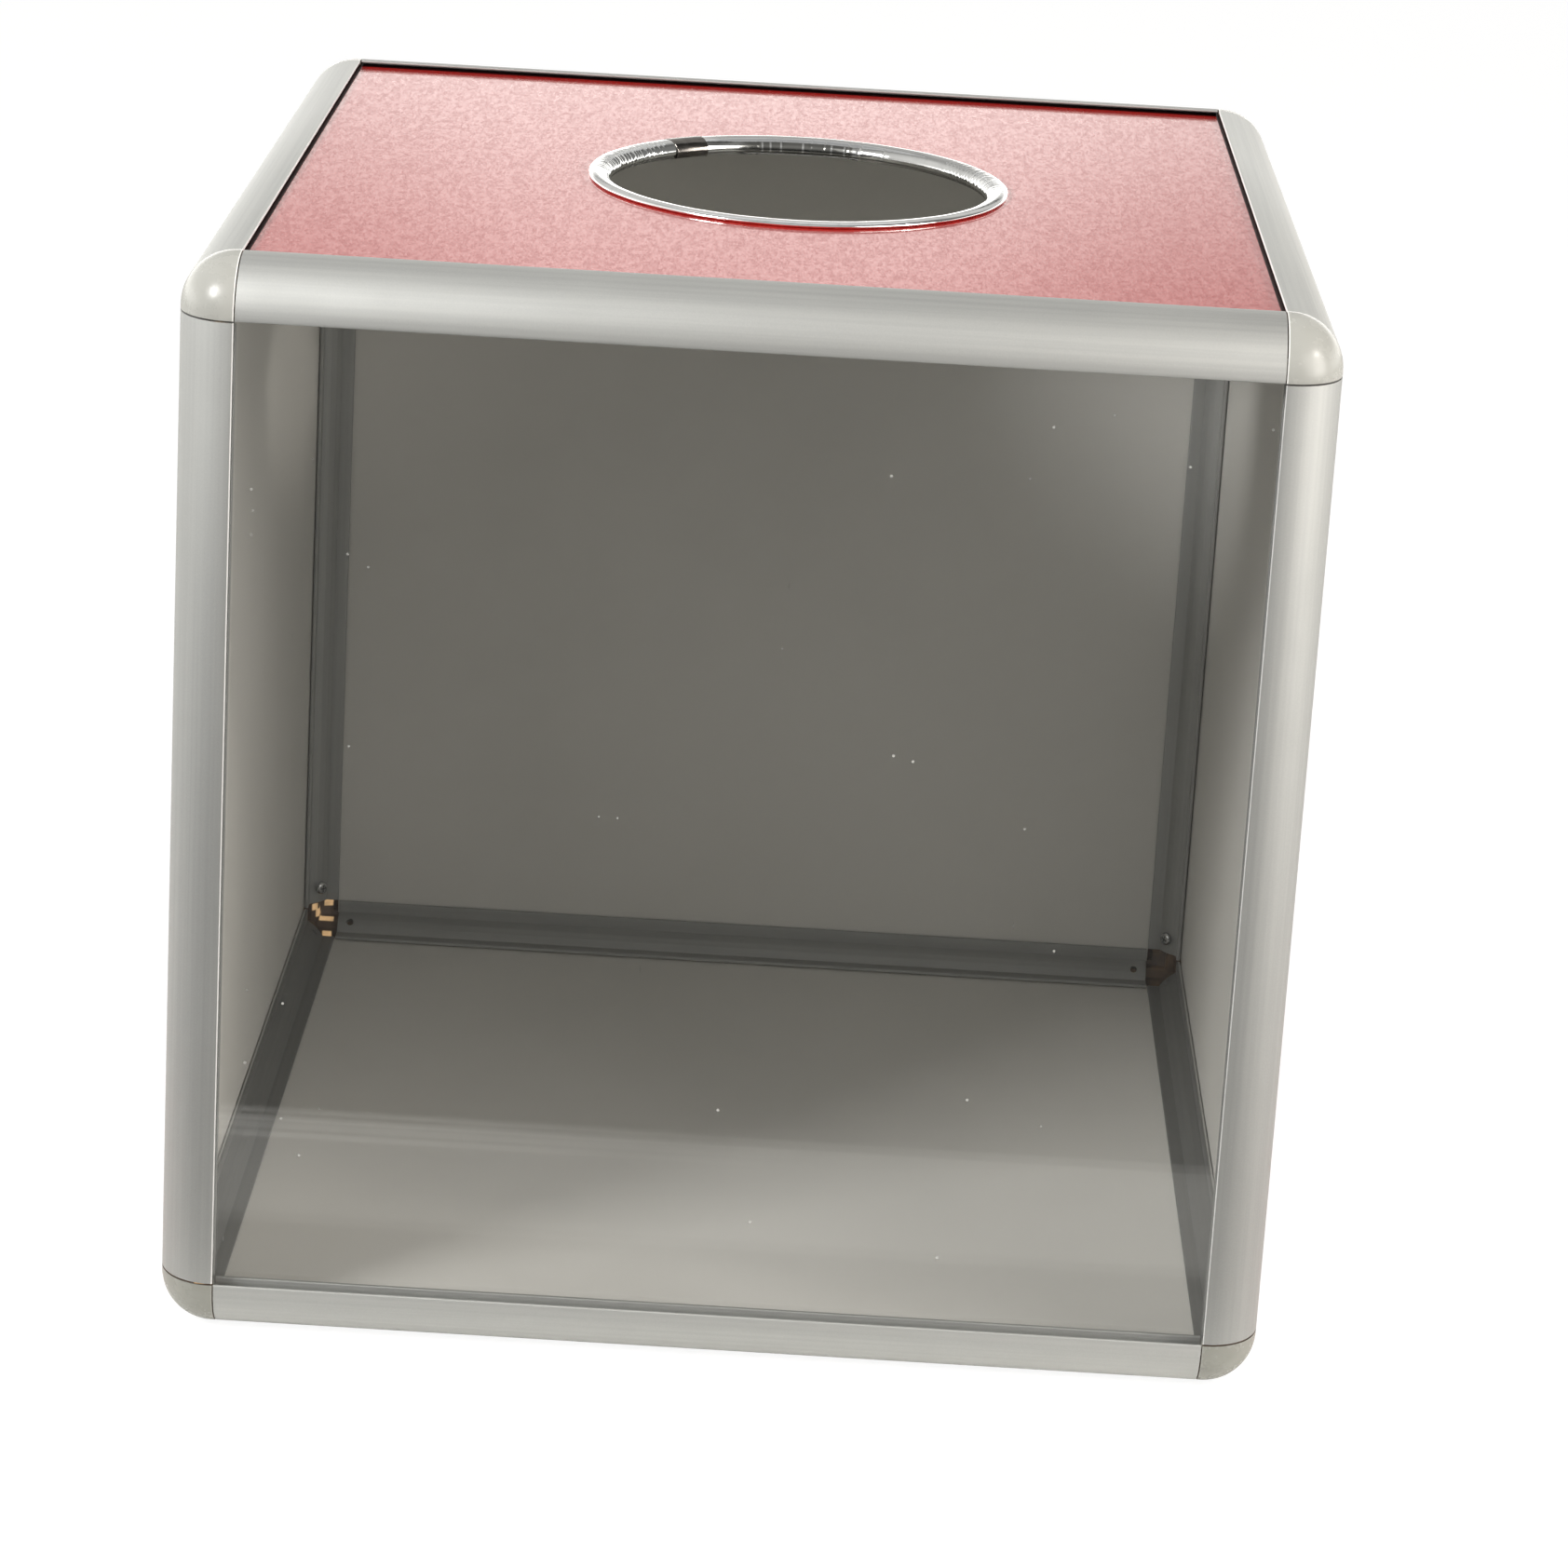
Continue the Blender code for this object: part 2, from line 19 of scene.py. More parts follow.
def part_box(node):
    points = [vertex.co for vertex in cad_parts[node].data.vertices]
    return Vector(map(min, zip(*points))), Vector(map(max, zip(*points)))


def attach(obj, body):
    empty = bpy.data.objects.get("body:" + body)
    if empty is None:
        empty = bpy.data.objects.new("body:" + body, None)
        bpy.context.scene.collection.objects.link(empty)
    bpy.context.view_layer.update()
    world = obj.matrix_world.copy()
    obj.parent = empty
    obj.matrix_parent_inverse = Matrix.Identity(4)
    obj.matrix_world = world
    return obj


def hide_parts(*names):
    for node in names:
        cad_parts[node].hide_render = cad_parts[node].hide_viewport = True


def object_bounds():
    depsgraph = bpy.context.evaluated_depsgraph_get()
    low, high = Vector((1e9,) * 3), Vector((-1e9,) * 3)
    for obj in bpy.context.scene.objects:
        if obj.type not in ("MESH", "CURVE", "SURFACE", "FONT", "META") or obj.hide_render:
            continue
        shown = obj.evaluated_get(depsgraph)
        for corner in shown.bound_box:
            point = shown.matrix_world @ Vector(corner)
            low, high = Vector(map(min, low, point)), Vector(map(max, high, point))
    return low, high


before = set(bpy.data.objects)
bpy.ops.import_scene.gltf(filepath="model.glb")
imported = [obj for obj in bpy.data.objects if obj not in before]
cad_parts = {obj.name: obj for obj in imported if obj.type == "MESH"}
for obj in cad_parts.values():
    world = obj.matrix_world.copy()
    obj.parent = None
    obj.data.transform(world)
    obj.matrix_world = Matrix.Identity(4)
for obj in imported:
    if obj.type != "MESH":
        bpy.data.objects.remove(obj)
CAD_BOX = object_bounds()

LOG = logging.getLogger("raffle_box")

MM = 0.001
QUARTER = math.pi / 2
WHOLE_TURN = math.pi * 2
WELD = 0.01 * MM
OVERRUN = 1.0 * MM
FACING = 0.9

Point = Sequence[float]
Span = tuple[float, float]
Colour = tuple[float, float, float]
Crease = tuple[float, float, float]
Settings = dict[str, object]
Inputs = dict[object, object]


class Axis(Enum):
    """Directions of the box's frame."""

    X = 0
    Y = 1
    Z = 2


class Slot(Enum):
    """Material slots of the record."""

    RAIL = "anodised_aluminium"
    CORNER = "corner_plastic"
    SCREW = "screw_steel"
    SHEET = "red_sheet"
    FRONT = "clear_acrylic"
    EDGING = "bright_edging"
    SLEEVE = "dark_steel"


# Shader expressions


class Value:
    """A shader number that adds Math nodes where it is used in an expression."""

    def __init__(self, tree: bpy.types.NodeTree, socket: bpy.types.NodeSocket) -> None:
        """Wrap an output socket of a node tree."""
        self.tree = tree
        self.socket = socket

    @staticmethod
    def plug(tree: bpy.types.NodeTree, source: object, target: bpy.types.NodeSocket) -> None:
        """Link a value to an input socket, or set a plain number or colour on it.

        Args:
            tree: Node tree of both sockets.
            source: Value, number or sequence.
            target: Input socket.
        """
        if isinstance(source, Value):
            tree.links.new(source.socket, target)
        elif isinstance(source, (tuple, list, Vector)) and target.type == "RGBA":
            target.default_value = (*source, 1.0)
        else:
            target.default_value = source

    def maths(self, operation: str, *operands: object) -> "Value":
        """Add a Math node.

        Args:
            operation: Name of the Math operation.
            operands: Its inputs in order.

        Returns:
            The node's result.
        """
        node = self.tree.nodes.new("ShaderNodeMath")
        node.operation = operation
        for operand, target in zip(operands, node.inputs):
            self.plug(self.tree, operand, target)
        return Value(self.tree, node.outputs[0])

    def __add__(self, other: object) -> "Value":
        """Sum."""
        return self.maths("ADD", self, other)

    __radd__ = __add__

    def __mul__(self, other: object) -> "Value":
        """Product."""
        return self.maths("MULTIPLY", self, other)

    __rmul__ = __mul__

    def __sub__(self, other: object) -> "Value":
        """Difference."""
        return self.maths("SUBTRACT", self, other)

    def __rsub__(self, other: object) -> "Value":
        """Difference from a plain number."""
        return self.maths("SUBTRACT", other, self)

    def __pow__(self, other: object) -> "Value":
        """Power."""
        return self.maths("POWER", self, other)

    def __abs__(self) -> "Value":
        """Size without sign."""
        return self.maths("ABSOLUTE", self)

    def least(self, other: object) -> "Value":
        """The smaller of two values."""
        return self.maths("MINIMUM", self, other)

    def most(self, other: object) -> "Value":
        """The larger of two values."""
        return self.maths("MAXIMUM", self, other)

    def rise(self, start: float, end: float) -> "Value":
        """Smooth step.

        Args:
            start: Where the step is 0.
            end: Where it is 1. It may be under start.

        Returns:
            A value from 0 to 1.
        """
        node = self.tree.nodes.new("ShaderNodeMapRange")
        node.interpolation_type = "SMOOTHSTEP"
        low, high = min(start, end), max(start, end)
        for name, number in (("From Min", low), ("From Max", high)):
            node.inputs[name].default_value = number
        self.plug(self.tree, self, node.inputs["Value"])
        stepped = Value(self.tree, node.outputs["Result"])
        return stepped if end > start else 1.0 - stepped

    def step(self, place: float, soft: float) -> "Value":
        """Smooth step from 0 to 1 about a place."""
        return self.rise(place - soft, place + soft)

    def drop(self, place: float, soft: float) -> "Value":
        """Smooth step from 1 to 0 about a place."""
        return self.rise(place + soft, place - soft)

    def within(self, low: float, high: float, soft: float) -> "Value":
        """Soft-edged cover of the span from low to high."""
        return self.step(low, soft) * self.drop(high, soft)


class Graph:
    """Node tree of one material, with a Principled shader on its output."""

    def __init__(self, name: str) -> None:
        """Start a material with this name."""
        self.material = bpy.data.materials.new(name)
        self.material.use_nodes = True
        self.tree = self.material.node_tree
        self.shader = self.tree.nodes["Principled BSDF"]
        self.output = self.tree.nodes["Material Output"]

    def node(self, kind: str, settings: Settings, inputs: Inputs) -> bpy.types.Node:
        """Add any node.

        Args:
            kind: Node type.
            settings: Its properties, set first.
            inputs: Values or links by socket name or number.

        Returns:
            The node.
        """
        made = self.tree.nodes.new(kind)
        for name, setting in settings.items():
            setattr(made, name, setting)
        for name, source in inputs.items():
            Value.plug(self.tree, source, made.inputs[name])
        return made

    def value(self, node: bpy.types.Node, name: object = 0) -> Value:
        """Output of a node as a value."""
        return Value(self.tree, node.outputs[name])

    def place(
        self, scale: Point = (1.0, 1.0, 1.0), shift: Point = (0.0, 0.0, 0.0), turn: Point = (0.0, 0.0, 0.0)
    ) -> Value:
        """Object coordinates in metres, scaled, turned and shifted."""
        coordinates = self.value(self.node("ShaderNodeTexCoord", {}, {}), "Object")
        inputs = {"Vector": coordinates, "Scale": scale, "Location": shift, "Rotation": turn}
        return self.value(self.node("ShaderNodeMapping", {}, inputs))

    def depths(self) -> list[Value]:
        """Depth of each point in from the nearest outer face of the box, along X, Y and Z."""
        low, high = CAD_BOX
        parts = self.parts(self.place(shift=(low + high) * -0.5))
        return [size - abs(part) for part, size in zip(parts, (high - low) / 2)]

    def parts(self, vector: Value) -> tuple[Value, Value, Value]:
        """X, Y and Z of a vector."""
        split = self.node("ShaderNodeSeparateXYZ", {}, {0: vector})
        return self.value(split, 0), self.value(split, 1), self.value(split, 2)

    def noise(self, vector: Value, scale: float, detail: float = 2.0, roughness: float = 0.5) -> Value:
        """Noise from 0 to 1 at a scale in cycles per unit of the vector."""
        inputs = {"Vector": vector, "Scale": scale, "Detail": detail, "Roughness": roughness}
        return self.value(self.node("ShaderNodeTexNoise", {}, inputs))

    def cells(self, vector: Value, scale: float) -> tuple[Value, Value]:
        """Distance from the nearest cell's middle, and each cell's random grey, from 0 to 1."""
        made = self.node("ShaderNodeTexVoronoi", {"feature": "F1"}, {"Vector": vector, "Scale": scale})
        channels = self.node("ShaderNodeSeparateColor", {}, {0: self.value(made, "Color")})
        return self.value(made, "Distance"), self.value(channels, 0)

    def blend(self, factor: object, first: object, second: object) -> Value:
        """Mix two colours.

        Args:
            factor: 0 shows the first, 1 the second.
            first: Colour or value.
            second: Colour or value.

        Returns:
            The mixed colour.
        """
        made = self.node("ShaderNodeMix", {"data_type": "RGBA"}, {0: factor, 6: first, 7: second})
        return self.value(made, 2)

    def bump(self, height: Value, depth: float, strength: float = 1.0) -> Value:
        """Bump normal from a height of 0 to 1, as deep as depth in metres."""
        made = self.node("ShaderNodeBump", {}, {"Height": height, "Strength": strength, "Distance": depth})
        return self.value(made)

    def dress(self, **sockets: object) -> bpy.types.Material:
        """Set the Principled shader's sockets.

        Args:
            sockets: Socket names with underscores for spaces, and their values.

        Returns:
            The finished material.
        """
        for name, source in sockets.items():
            Value.plug(self.tree, source, self.shader.inputs[name.replace("_", " ")])
        return self.material


# Finishes


@dataclass(frozen=True)
class AnodisedAluminium:
    """Silver satin anodised extrusion with faint lines along its length."""

    run: Axis
    # Painted light: the tone is scaled per run, lighter on the Y rails and darker on the posts, for how light
    # falls on them.
    lit_tone_share: float
    glint_share: float
    inside_lit_share: float
    dark: Colour = (0.50, 0.505, 0.495)
    light: Colour = (0.56, 0.565, 0.55)
    # Near-white painted highlight along the lips' outer edges.
    wear_and_glint: Colour = (0.97, 0.97, 0.96)
    # Black that the faces inside the box are blended towards: painted shade.
    shadow: Colour = (0.0, 0.0, 0.0)
    inner_start: float = 5.6 * MM
    inner_fade: float = 0.2 * MM
    lip_start: float = 14.24 * MM
    lip_start_fade: float = 0.08 * MM
    lip_end: float = 0.8 * MM
    lip_end_fade: float = 0.1 * MM
    line_scale: float = 900.0
    line_length_scale: float = 7.0
    grain_scale: float = 2600.0
    smudge_scale: float = 30.0
    smudge_span: Span = (0.45, 0.75)
    tone_span: Span = (0.30, 0.70)
    line_share: float = 0.6
    bump_line_share: float = 0.4
    roughness: float = 0.62
    roughness_gain: float = 0.06
    smudge_gain: float = 0.04
    line_depth: float = 0.006 * MM
    line_strength: float = 0.6

    def make(self) -> bpy.types.Material:
        """Material for rails that run along one axis, with painted shade on the faces in the box and a
        painted highlight along the lips' edges.
        """
        graph = Graph(f"anodised_aluminium_{self.run.name.lower()}")
        first, second = [depth for depth, axis in zip(graph.depths(), Axis) if axis is not self.run]
        far, near = first.most(second), first.least(second)
        # Faces inside the box: painted shade, set by the share of tone kept per run.
        inner = near.step(self.inner_start, self.inner_fade)
        # Painted highlight along the lips' outer edges.
        lip = far.step(self.lip_start, self.lip_start_fade) * near.drop(self.lip_end, self.lip_end_fade)
        scale = [self.line_scale] * 3
        scale[self.run.value] = self.line_length_scale
        lines = graph.noise(graph.place(scale), 1.0, 3.0, 0.6)
        grain = graph.noise(graph.place(), self.grain_scale, 2.0)
        smudge = graph.noise(graph.place(), self.smudge_scale, 3.0).rise(*self.smudge_span)
        tone = (lines * self.line_share + grain * (1.0 - self.line_share)).rise(*self.tone_span)
        relief = lines * self.bump_line_share + grain * (1.0 - self.bump_line_share)
        gain = self.roughness_gain
        return graph.dress(
            Base_Color=graph.blend(
                inner * (1.0 - self.inside_lit_share),
                graph.blend(lip * self.glint_share, graph.blend(tone, *self.tones()), self.wear_and_glint),
                self.shadow,
            ),
            Metallic=1.0,
            Roughness=self.roughness + lines * gain + grain * gain + smudge * self.smudge_gain,
            Normal=graph.bump(relief, self.line_depth, self.line_strength),
        )

    def tones(self) -> list[Colour]:
        """Dark and light tone of rails that run this way."""
        return [tuple(part * self.lit_tone_share for part in tone) for tone in (self.dark, self.light)]


@dataclass(frozen=True)
class CornerPlastic:
    """Warm grey moulded plastic, with a painted highlight along the rims at the rails and dark seams at the
    posts.
    """

    colour: Colour
    wear_and_glint: Colour
    # Colour of the painted highlight along the rims at the rails.
    rim: Colour
    seam: Colour = (0.03, 0.028, 0.025)
    rim_start: float = 14.20 * MM
    seam_start: float = 14.36 * MM
    fade: float = 0.06 * MM
    mottle_scale: float = 140.0
    mottle_span: Span = (0.35, 0.70)
    skin_scale: float = 900.0
    skin_depth: float = 0.01 * MM
    skin_strength: float = 0.5
    roughness: float = 0.23
    roughness_gain: float = 0.04

    def make(self) -> bpy.types.Material:
        """Material for the ball corners' outside."""
        graph = Graph("corner_plastic")
        mottle = graph.noise(graph.place(), self.mottle_scale, 4.0, 0.6).rise(*self.mottle_span)
        skin = graph.noise(graph.place(), self.skin_scale, 2.0)
        across, along, height = graph.depths()
        # Painted highlight along the rims where the rails meet the ball.
        rim = across.most(along).step(self.rim_start, self.fade)
        seam = height.step(self.seam_start, self.fade)
        skin_colour = graph.blend(rim, graph.blend(mottle, self.colour, self.wear_and_glint), self.rim)
        return graph.dress(
            Base_Color=graph.blend(seam, skin_colour, self.seam),
            Roughness=self.roughness + mottle * self.roughness_gain + skin * self.roughness_gain,
            IOR=1.5,
            Normal=graph.bump(skin, self.skin_depth, self.skin_strength),
        )


@dataclass(frozen=True)
class InnerPlastic:
    """Inside of a ball corner, painted dark brown as shade, with a painted warm glow where a few thin places
    let light through.

    A window is a pair of corners in (along X, along Y, along Z), each a depth in from the
    nearest outer face of the box.
    """

    glow: float
    # Dark brown painted shade over the whole inside.
    inside_shade: Colour = (0.105, 0.068, 0.042)
    light: Colour = (1.0, 0.64, 0.31)
    mottle_scale: float = 420.0
    mottle_span: Span = (0.30, 0.75)
    mottle_gain: float = 1.35
    mottle_shade: float = 0.35
    roughness: float = 0.45
    roughness_gain: float = 0.12
    edge: float = 0.25 * MM
    windows: tuple[tuple[Point, Point], ...] = (
        ((9.9 * MM, 0.6 * MM, 11.5 * MM), (12.5 * MM, 4.4 * MM, 15.4 * MM)),
        ((6.7 * MM, 6.9 * MM, 11.7 * MM), (8.4 * MM, 8.6 * MM, 13.8 * MM)),
        ((7.6 * MM, 4.2 * MM, 9.3 * MM), (8.9 * MM, 7.4 * MM, 11.9 * MM)),
        ((8.8 * MM, 4.8 * MM, 8.0 * MM), (13.2 * MM, 7.1 * MM, 9.2 * MM)),
        ((10.1 * MM, 8.1 * MM, 3.4 * MM), (12.9 * MM, 9.2 * MM, 5.4 * MM)),
    )

    def make(self) -> bpy.types.Material:
        """Material whose painted glow, an emission, stands in for the light that comes through."""
        graph = Graph(f"inner_plastic_{round(self.glow * 100):03d}")
        mottle = graph.noise(graph.place(), self.mottle_scale, 3.0).rise(*self.mottle_span)
        depths = graph.depths()
        thin = self.inside(depths, *self.windows[0])
        for window in self.windows[1:]:
            thin = thin.most(self.inside(depths, *window))
        # Painted glow: emission on the thin places stands in for the light that comes through.
        graph.shader.inputs["Emission Strength"].default_value = self.glow
        shade = thin * (1.0 - mottle * self.mottle_shade)
        return graph.dress(
            Base_Color=graph.blend(mottle, self.inside_shade, [part * self.mottle_gain for part in self.inside_shade]),
            Emission_Color=graph.blend(shade, (0.0, 0.0, 0.0), self.light),
            Roughness=self.roughness + mottle * self.roughness_gain,
        )

    def inside(self, depths: Sequence[Value], low: Point, high: Point) -> Value:
        """Soft-edged cover of one window, from 0 to 1."""
        across, along, height = [depth.within(*span, self.edge) for depth, *span in zip(depths, low, high)]
        return across * along * height


@dataclass(frozen=True)
class RedCoat:
    """Red satin coat of a composite sheet, with fine orange peel and a painted shadow along its edges under
    the rails' lips.
    """

    deep: Colour = (0.36, 0.005, 0.003)
    bright: Colour = (0.50, 0.014, 0.009)
    peel_scale: float = 900.0
    peel_squeeze: float = 0.30
    brush_scale: float = 1600.0
    brush_length_scale: float = 90.0
    cloud_scale: float = 14.0
    peel_share: float = 0.5
    fine_share: float = 0.3
    brush_share: float = 0.2
    grain_span: Span = (0.36, 0.64)
    peel_depth: float = 0.045 * MM
    peel_strength: float = 0.8
    roughness: float = 0.40
    texture_gain: float = 0.16
    cloud_gain: float = 0.06
    specular: float = 0.12
    coat_roughness: float = 0.085
    coat_index: float = 1.62
    coat_base: float = 0.67
    coat_grain: float = 0.46
    # Near-black painted shadow along the sheet's edges under the rails' lips.
    gap: Colour = (0.012, 0.0015, 0.0015)
    lip_shadow_end: float = 15.25 * MM
    lip_shadow_fade: float = 0.12 * MM
    lip_shadow_dulling: float = 0.95

    def make(self) -> bpy.types.Material:
        """Material for the sheets' outer faces."""
        graph = Graph("red_coat")
        squeezed = (1.0, self.peel_squeeze, 1.0)
        peel = graph.noise(graph.place(squeezed), self.peel_scale, 2.0, 0.55)
        fine = graph.noise(graph.place(squeezed), self.peel_scale * 2.0, 2.0)
        stretched = graph.place((self.brush_length_scale, self.brush_scale, self.brush_length_scale))
        brush = graph.noise(stretched, 1.0, 3.0, 0.6)
        cloud = graph.noise(graph.place(), self.cloud_scale, 3.0)
        texture = peel * self.peel_share + fine * self.fine_share + brush * self.brush_share
        grain = texture.rise(*self.grain_span)
        across, along, height = graph.depths()
        least, most = across.least(along).least(height), across.most(along).most(height)
        middle = across + along + height - most - least
        # Painted shadow under the lips, where the coat is dulled as well.
        gap = middle.drop(self.lip_shadow_end, self.lip_shadow_fade)
        return graph.dress(
            Base_Color=graph.blend(gap, graph.blend(grain, self.deep, self.bright), self.gap),
            Roughness=self.roughness + texture * self.texture_gain + cloud * self.cloud_gain,
            Specular_IOR_Level=self.specular,
            Coat_Weight=(self.coat_base + grain * self.coat_grain) * (1.0 - gap * self.lip_shadow_dulling),
            Coat_Roughness=self.coat_roughness,
            Coat_IOR=self.coat_index,
            Normal=graph.bump(texture, self.peel_depth, self.peel_strength),
        )


@dataclass(frozen=True)
class GreyCoat:
    """Warm grey inner coat of a composite sheet."""

    dark: Colour = (0.64, 0.63, 0.595)
    light: Colour = (0.70, 0.69, 0.655)
    cloud_scale: float = 9.0
    cloud_span: Span = (0.30, 0.70)
    cloud_share: float = 0.6
    grain_scale: float = 1400.0
    grain_depth: float = 0.015 * MM
    grain_strength: float = 0.5
    roughness: float = 0.46
    roughness_gain: float = 0.12
    speck_scale: float = 160.0
    speck_size: float = 0.05
    speck_rarity: float = 0.985
    speck_share: float = 0.35

    def make(self) -> bpy.types.Material:
        """Material for the sheets' inner faces."""
        graph = Graph("grey_coat")
        cloud = graph.noise(graph.place(), self.cloud_scale, 4.0, 0.6).rise(*self.cloud_span)
        grain = graph.noise(graph.place(), self.grain_scale, 2.0)
        distance, chance = graph.cells(graph.place(), self.speck_scale)
        wanted = chance.rise(self.speck_rarity, self.speck_rarity + 0.005)
        speck = distance.rise(self.speck_size, self.speck_size * 0.4) * wanted
        mixed = cloud * self.cloud_share + grain * (1.0 - self.cloud_share)
        tone = graph.blend(mixed, self.dark, self.light)
        return graph.dress(
            Base_Color=graph.blend(speck, tone, [part * self.speck_share for part in self.dark]),
            Roughness=self.roughness + grain * self.roughness_gain,
            Normal=graph.bump(grain, self.grain_depth, self.grain_strength),
        )


@dataclass(frozen=True)
class SheetCore:
    """Dark plastic core that shows on a composite sheet's cut edges."""

    core: Colour = (0.035, 0.034, 0.033)
    scuffed: Colour = (0.10, 0.095, 0.09)
    saw_scale: Point = (1500.0, 1500.0, 200.0)
    saw_span: Span = (0.4, 0.8)
    saw_depth: float = 0.05 * MM
    saw_strength: float = 0.6
    roughness: float = 0.6
    roughness_gain: float = 0.2

    def make(self) -> bpy.types.Material:
        """Material for the sheets' edges."""
        graph = Graph("sheet_core")
        saw = graph.noise(graph.place(self.saw_scale), 1.0, 2.0)
        return graph.dress(
            Base_Color=graph.blend(saw.rise(*self.saw_span), self.core, self.scuffed),
            Roughness=self.roughness + saw * self.roughness_gain,
            Normal=graph.bump(saw, self.saw_depth, self.saw_strength),
        )


@dataclass(frozen=True)
class ClearAcrylic:
    """Polished clear sheet with a little dust and a few fine scratches."""

    mirror: Colour = (0.97, 0.98, 0.97)
    speck: Colour = (0.62, 0.62, 0.59)
    facing_share: float = 0.080
    grazing_power: float = 5.0
    roughness: float = 0.01
    mark_roughness: float = 0.5
    mark_cover: float = 0.75
    dust_scale: float = 210.0
    dust_size: float = 0.10
    dust_rarity: float = 0.965
    dust_corner: Point = (-108.0 * MM, -139.0 * MM, 215.0 * MM)
    dust_corner_reach: float = 40.0 * MM
    dust_corner_rarity: float = 0.55
    scratch_scale: float = 26.0
    scratch_width: float = 0.035
    scratch_rarity: float = 0.93
    scratch_cover: float = 0.6
    scratch_runs: tuple[Span, ...] = ((0.5, 9.0), (-0.9, 7.0))

    def make(self) -> bpy.types.Material:
        """Mirror whose cover grows as the view gets flatter, and under each mark."""
        graph = Graph("clear_acrylic")
        layer = graph.node("ShaderNodeLayerWeight", {}, {"Blend": 0.5})
        facing = graph.value(layer, "Facing")
        gloss = self.facing_share + (1.0 - self.facing_share) * facing ** self.grazing_power
        mark = self.dust(graph).most(self.scratches(graph))
        return graph.dress(
            Base_Color=graph.blend(mark, self.mirror, self.speck),
            Metallic=1.0 - mark,
            Roughness=self.roughness + mark * self.mark_roughness,
            Alpha=gloss.most(mark * self.mark_cover),
        )

    def dust(self, graph: Graph) -> Value:
        """Sparse motes, thicker near the upper left of the sheet."""
        distance, chance = graph.cells(graph.place(), self.dust_scale)
        ends = {0: graph.place(), 1: self.dust_corner}
        gap = graph.node("ShaderNodeVectorMath", {"operation": "DISTANCE"}, ends)
        near = graph.value(gap, "Value").rise(self.dust_corner_reach, 0.0)
        wanted = chance.rise(self.dust_rarity, self.dust_rarity + 0.005)
        wanted = wanted.most(chance.rise(self.dust_corner_rarity, self.dust_corner_rarity + 0.01) * near)
        return distance.rise(self.dust_size, self.dust_size * 0.6) * wanted

    def scratches(self, graph: Graph) -> Value:
        """A few hair scratches in two directions."""
        total: Optional[Value] = None
        for turn, squeeze in self.scratch_runs:
            place = graph.place(scale=(squeeze, 1.0, 1.0), turn=(0.0, turn, 0.0))
            distance, chance = graph.cells(place, self.scratch_scale)
            line = distance.rise(self.scratch_width, self.scratch_width * 4 / 7)
            line = line * chance.rise(self.scratch_rarity, self.scratch_rarity + 0.01)
            total = line if total is None else total.most(line)
        return total * self.scratch_cover


@dataclass(frozen=True)
class BrightFoil:
    """Bright metal skin of the bent edging strip, with painted shade on its underside and rear, darkest on
    its upright rear wall between folds.
    """

    middle: Point
    colour: Colour = (0.93, 0.94, 0.94)
    dull: Colour = (0.82, 0.83, 0.83)
    # Dark painted shade on the upright rear wall.
    wall: Colour = (0.22, 0.22, 0.21)
    wall_start: float = math.radians(74)
    wall_end: float = math.radians(111)
    wall_fade: float = math.radians(0.4)
    wall_low: float = -1.0 * MM
    wall_high: float = 1.9 * MM
    wall_height_fade: float = 0.15 * MM
    folds: tuple[float, ...] = tuple(map(math.radians, (76.5, 80.7, 89.7, 96.6, 100.0, 102.6)))
    fold_width: float = math.radians(0.45)
    shade: Colour = (0.30, 0.30, 0.29)
    side_start: float = math.radians(22)
    side_end: float = math.radians(118)
    side_fade: float = math.radians(6)
    side_share: float = 0.50
    under_height: float = -0.5 * MM
    under_fade: float = 0.3 * MM
    haze_scale: float = 260.0
    haze_span: Span = (0.40, 0.75)
    fine_scale: float = 1500.0
    haze_depth: float = 0.03 * MM
    haze_strength: float = 0.5
    roughness: float = 0.07
    roughness_gain: float = 0.12

    def make(self) -> bpy.types.Material:
        """Material for the hand hole's edging."""
        graph = Graph("bright_edging")
        haze = graph.noise(graph.place(), self.haze_scale, 3.0, 0.6).rise(*self.haze_span)
        fine = graph.noise(graph.place(), self.fine_scale, 2.0)
        # Painted shade on the underside and along the rear.
        skin = graph.blend(self.shaded(graph), graph.blend(haze, self.colour, self.dull), self.shade)
        return graph.dress(
            Base_Color=graph.blend(self.dark_wall_shade(graph), skin, self.wall),
            Metallic=1.0,
            Roughness=self.roughness + haze * self.roughness_gain,
            Normal=graph.bump(fine * 0.5 + haze * 0.5, self.haze_depth, self.haze_strength),
        )

    def about_middle(self, graph: Graph) -> tuple[Value, Value]:
        """Bearing about the hole's axis and height over its middle."""
        across, along, height = graph.parts(graph.place(shift=[-part for part in self.middle]))
        return along.maths("ARCTAN2", along, across), height

    def shaded(self, graph: Graph) -> Value:
        """Cover of the painted shade on the underside and along the rear, from 0 to 1."""
        bearing, height = self.about_middle(graph)
        side = bearing.within(self.side_start, self.side_end, self.side_fade) * self.side_share
        return side.most(height.drop(self.under_height, self.under_fade))

    def dark_wall_shade(self, graph: Graph) -> Value:
        """Cover of the dark painted shade on the rear wall, left out at the folds, which fades out slowly on
        the left, from 0 to 1.
        """
        bearing, height = self.about_middle(graph)
        cover = bearing.step(self.wall_start, self.wall_fade)
        cover = cover * bearing.rise(self.wall_end + self.wall_fade * 4, self.wall_end - self.wall_fade * 12)
        cover = cover * height.within(self.wall_low, self.wall_high, self.wall_height_fade)
        for fold in self.folds:
            cover = cover * abs(bearing - fold).rise(self.fold_width * 0.4, self.fold_width)
        return cover


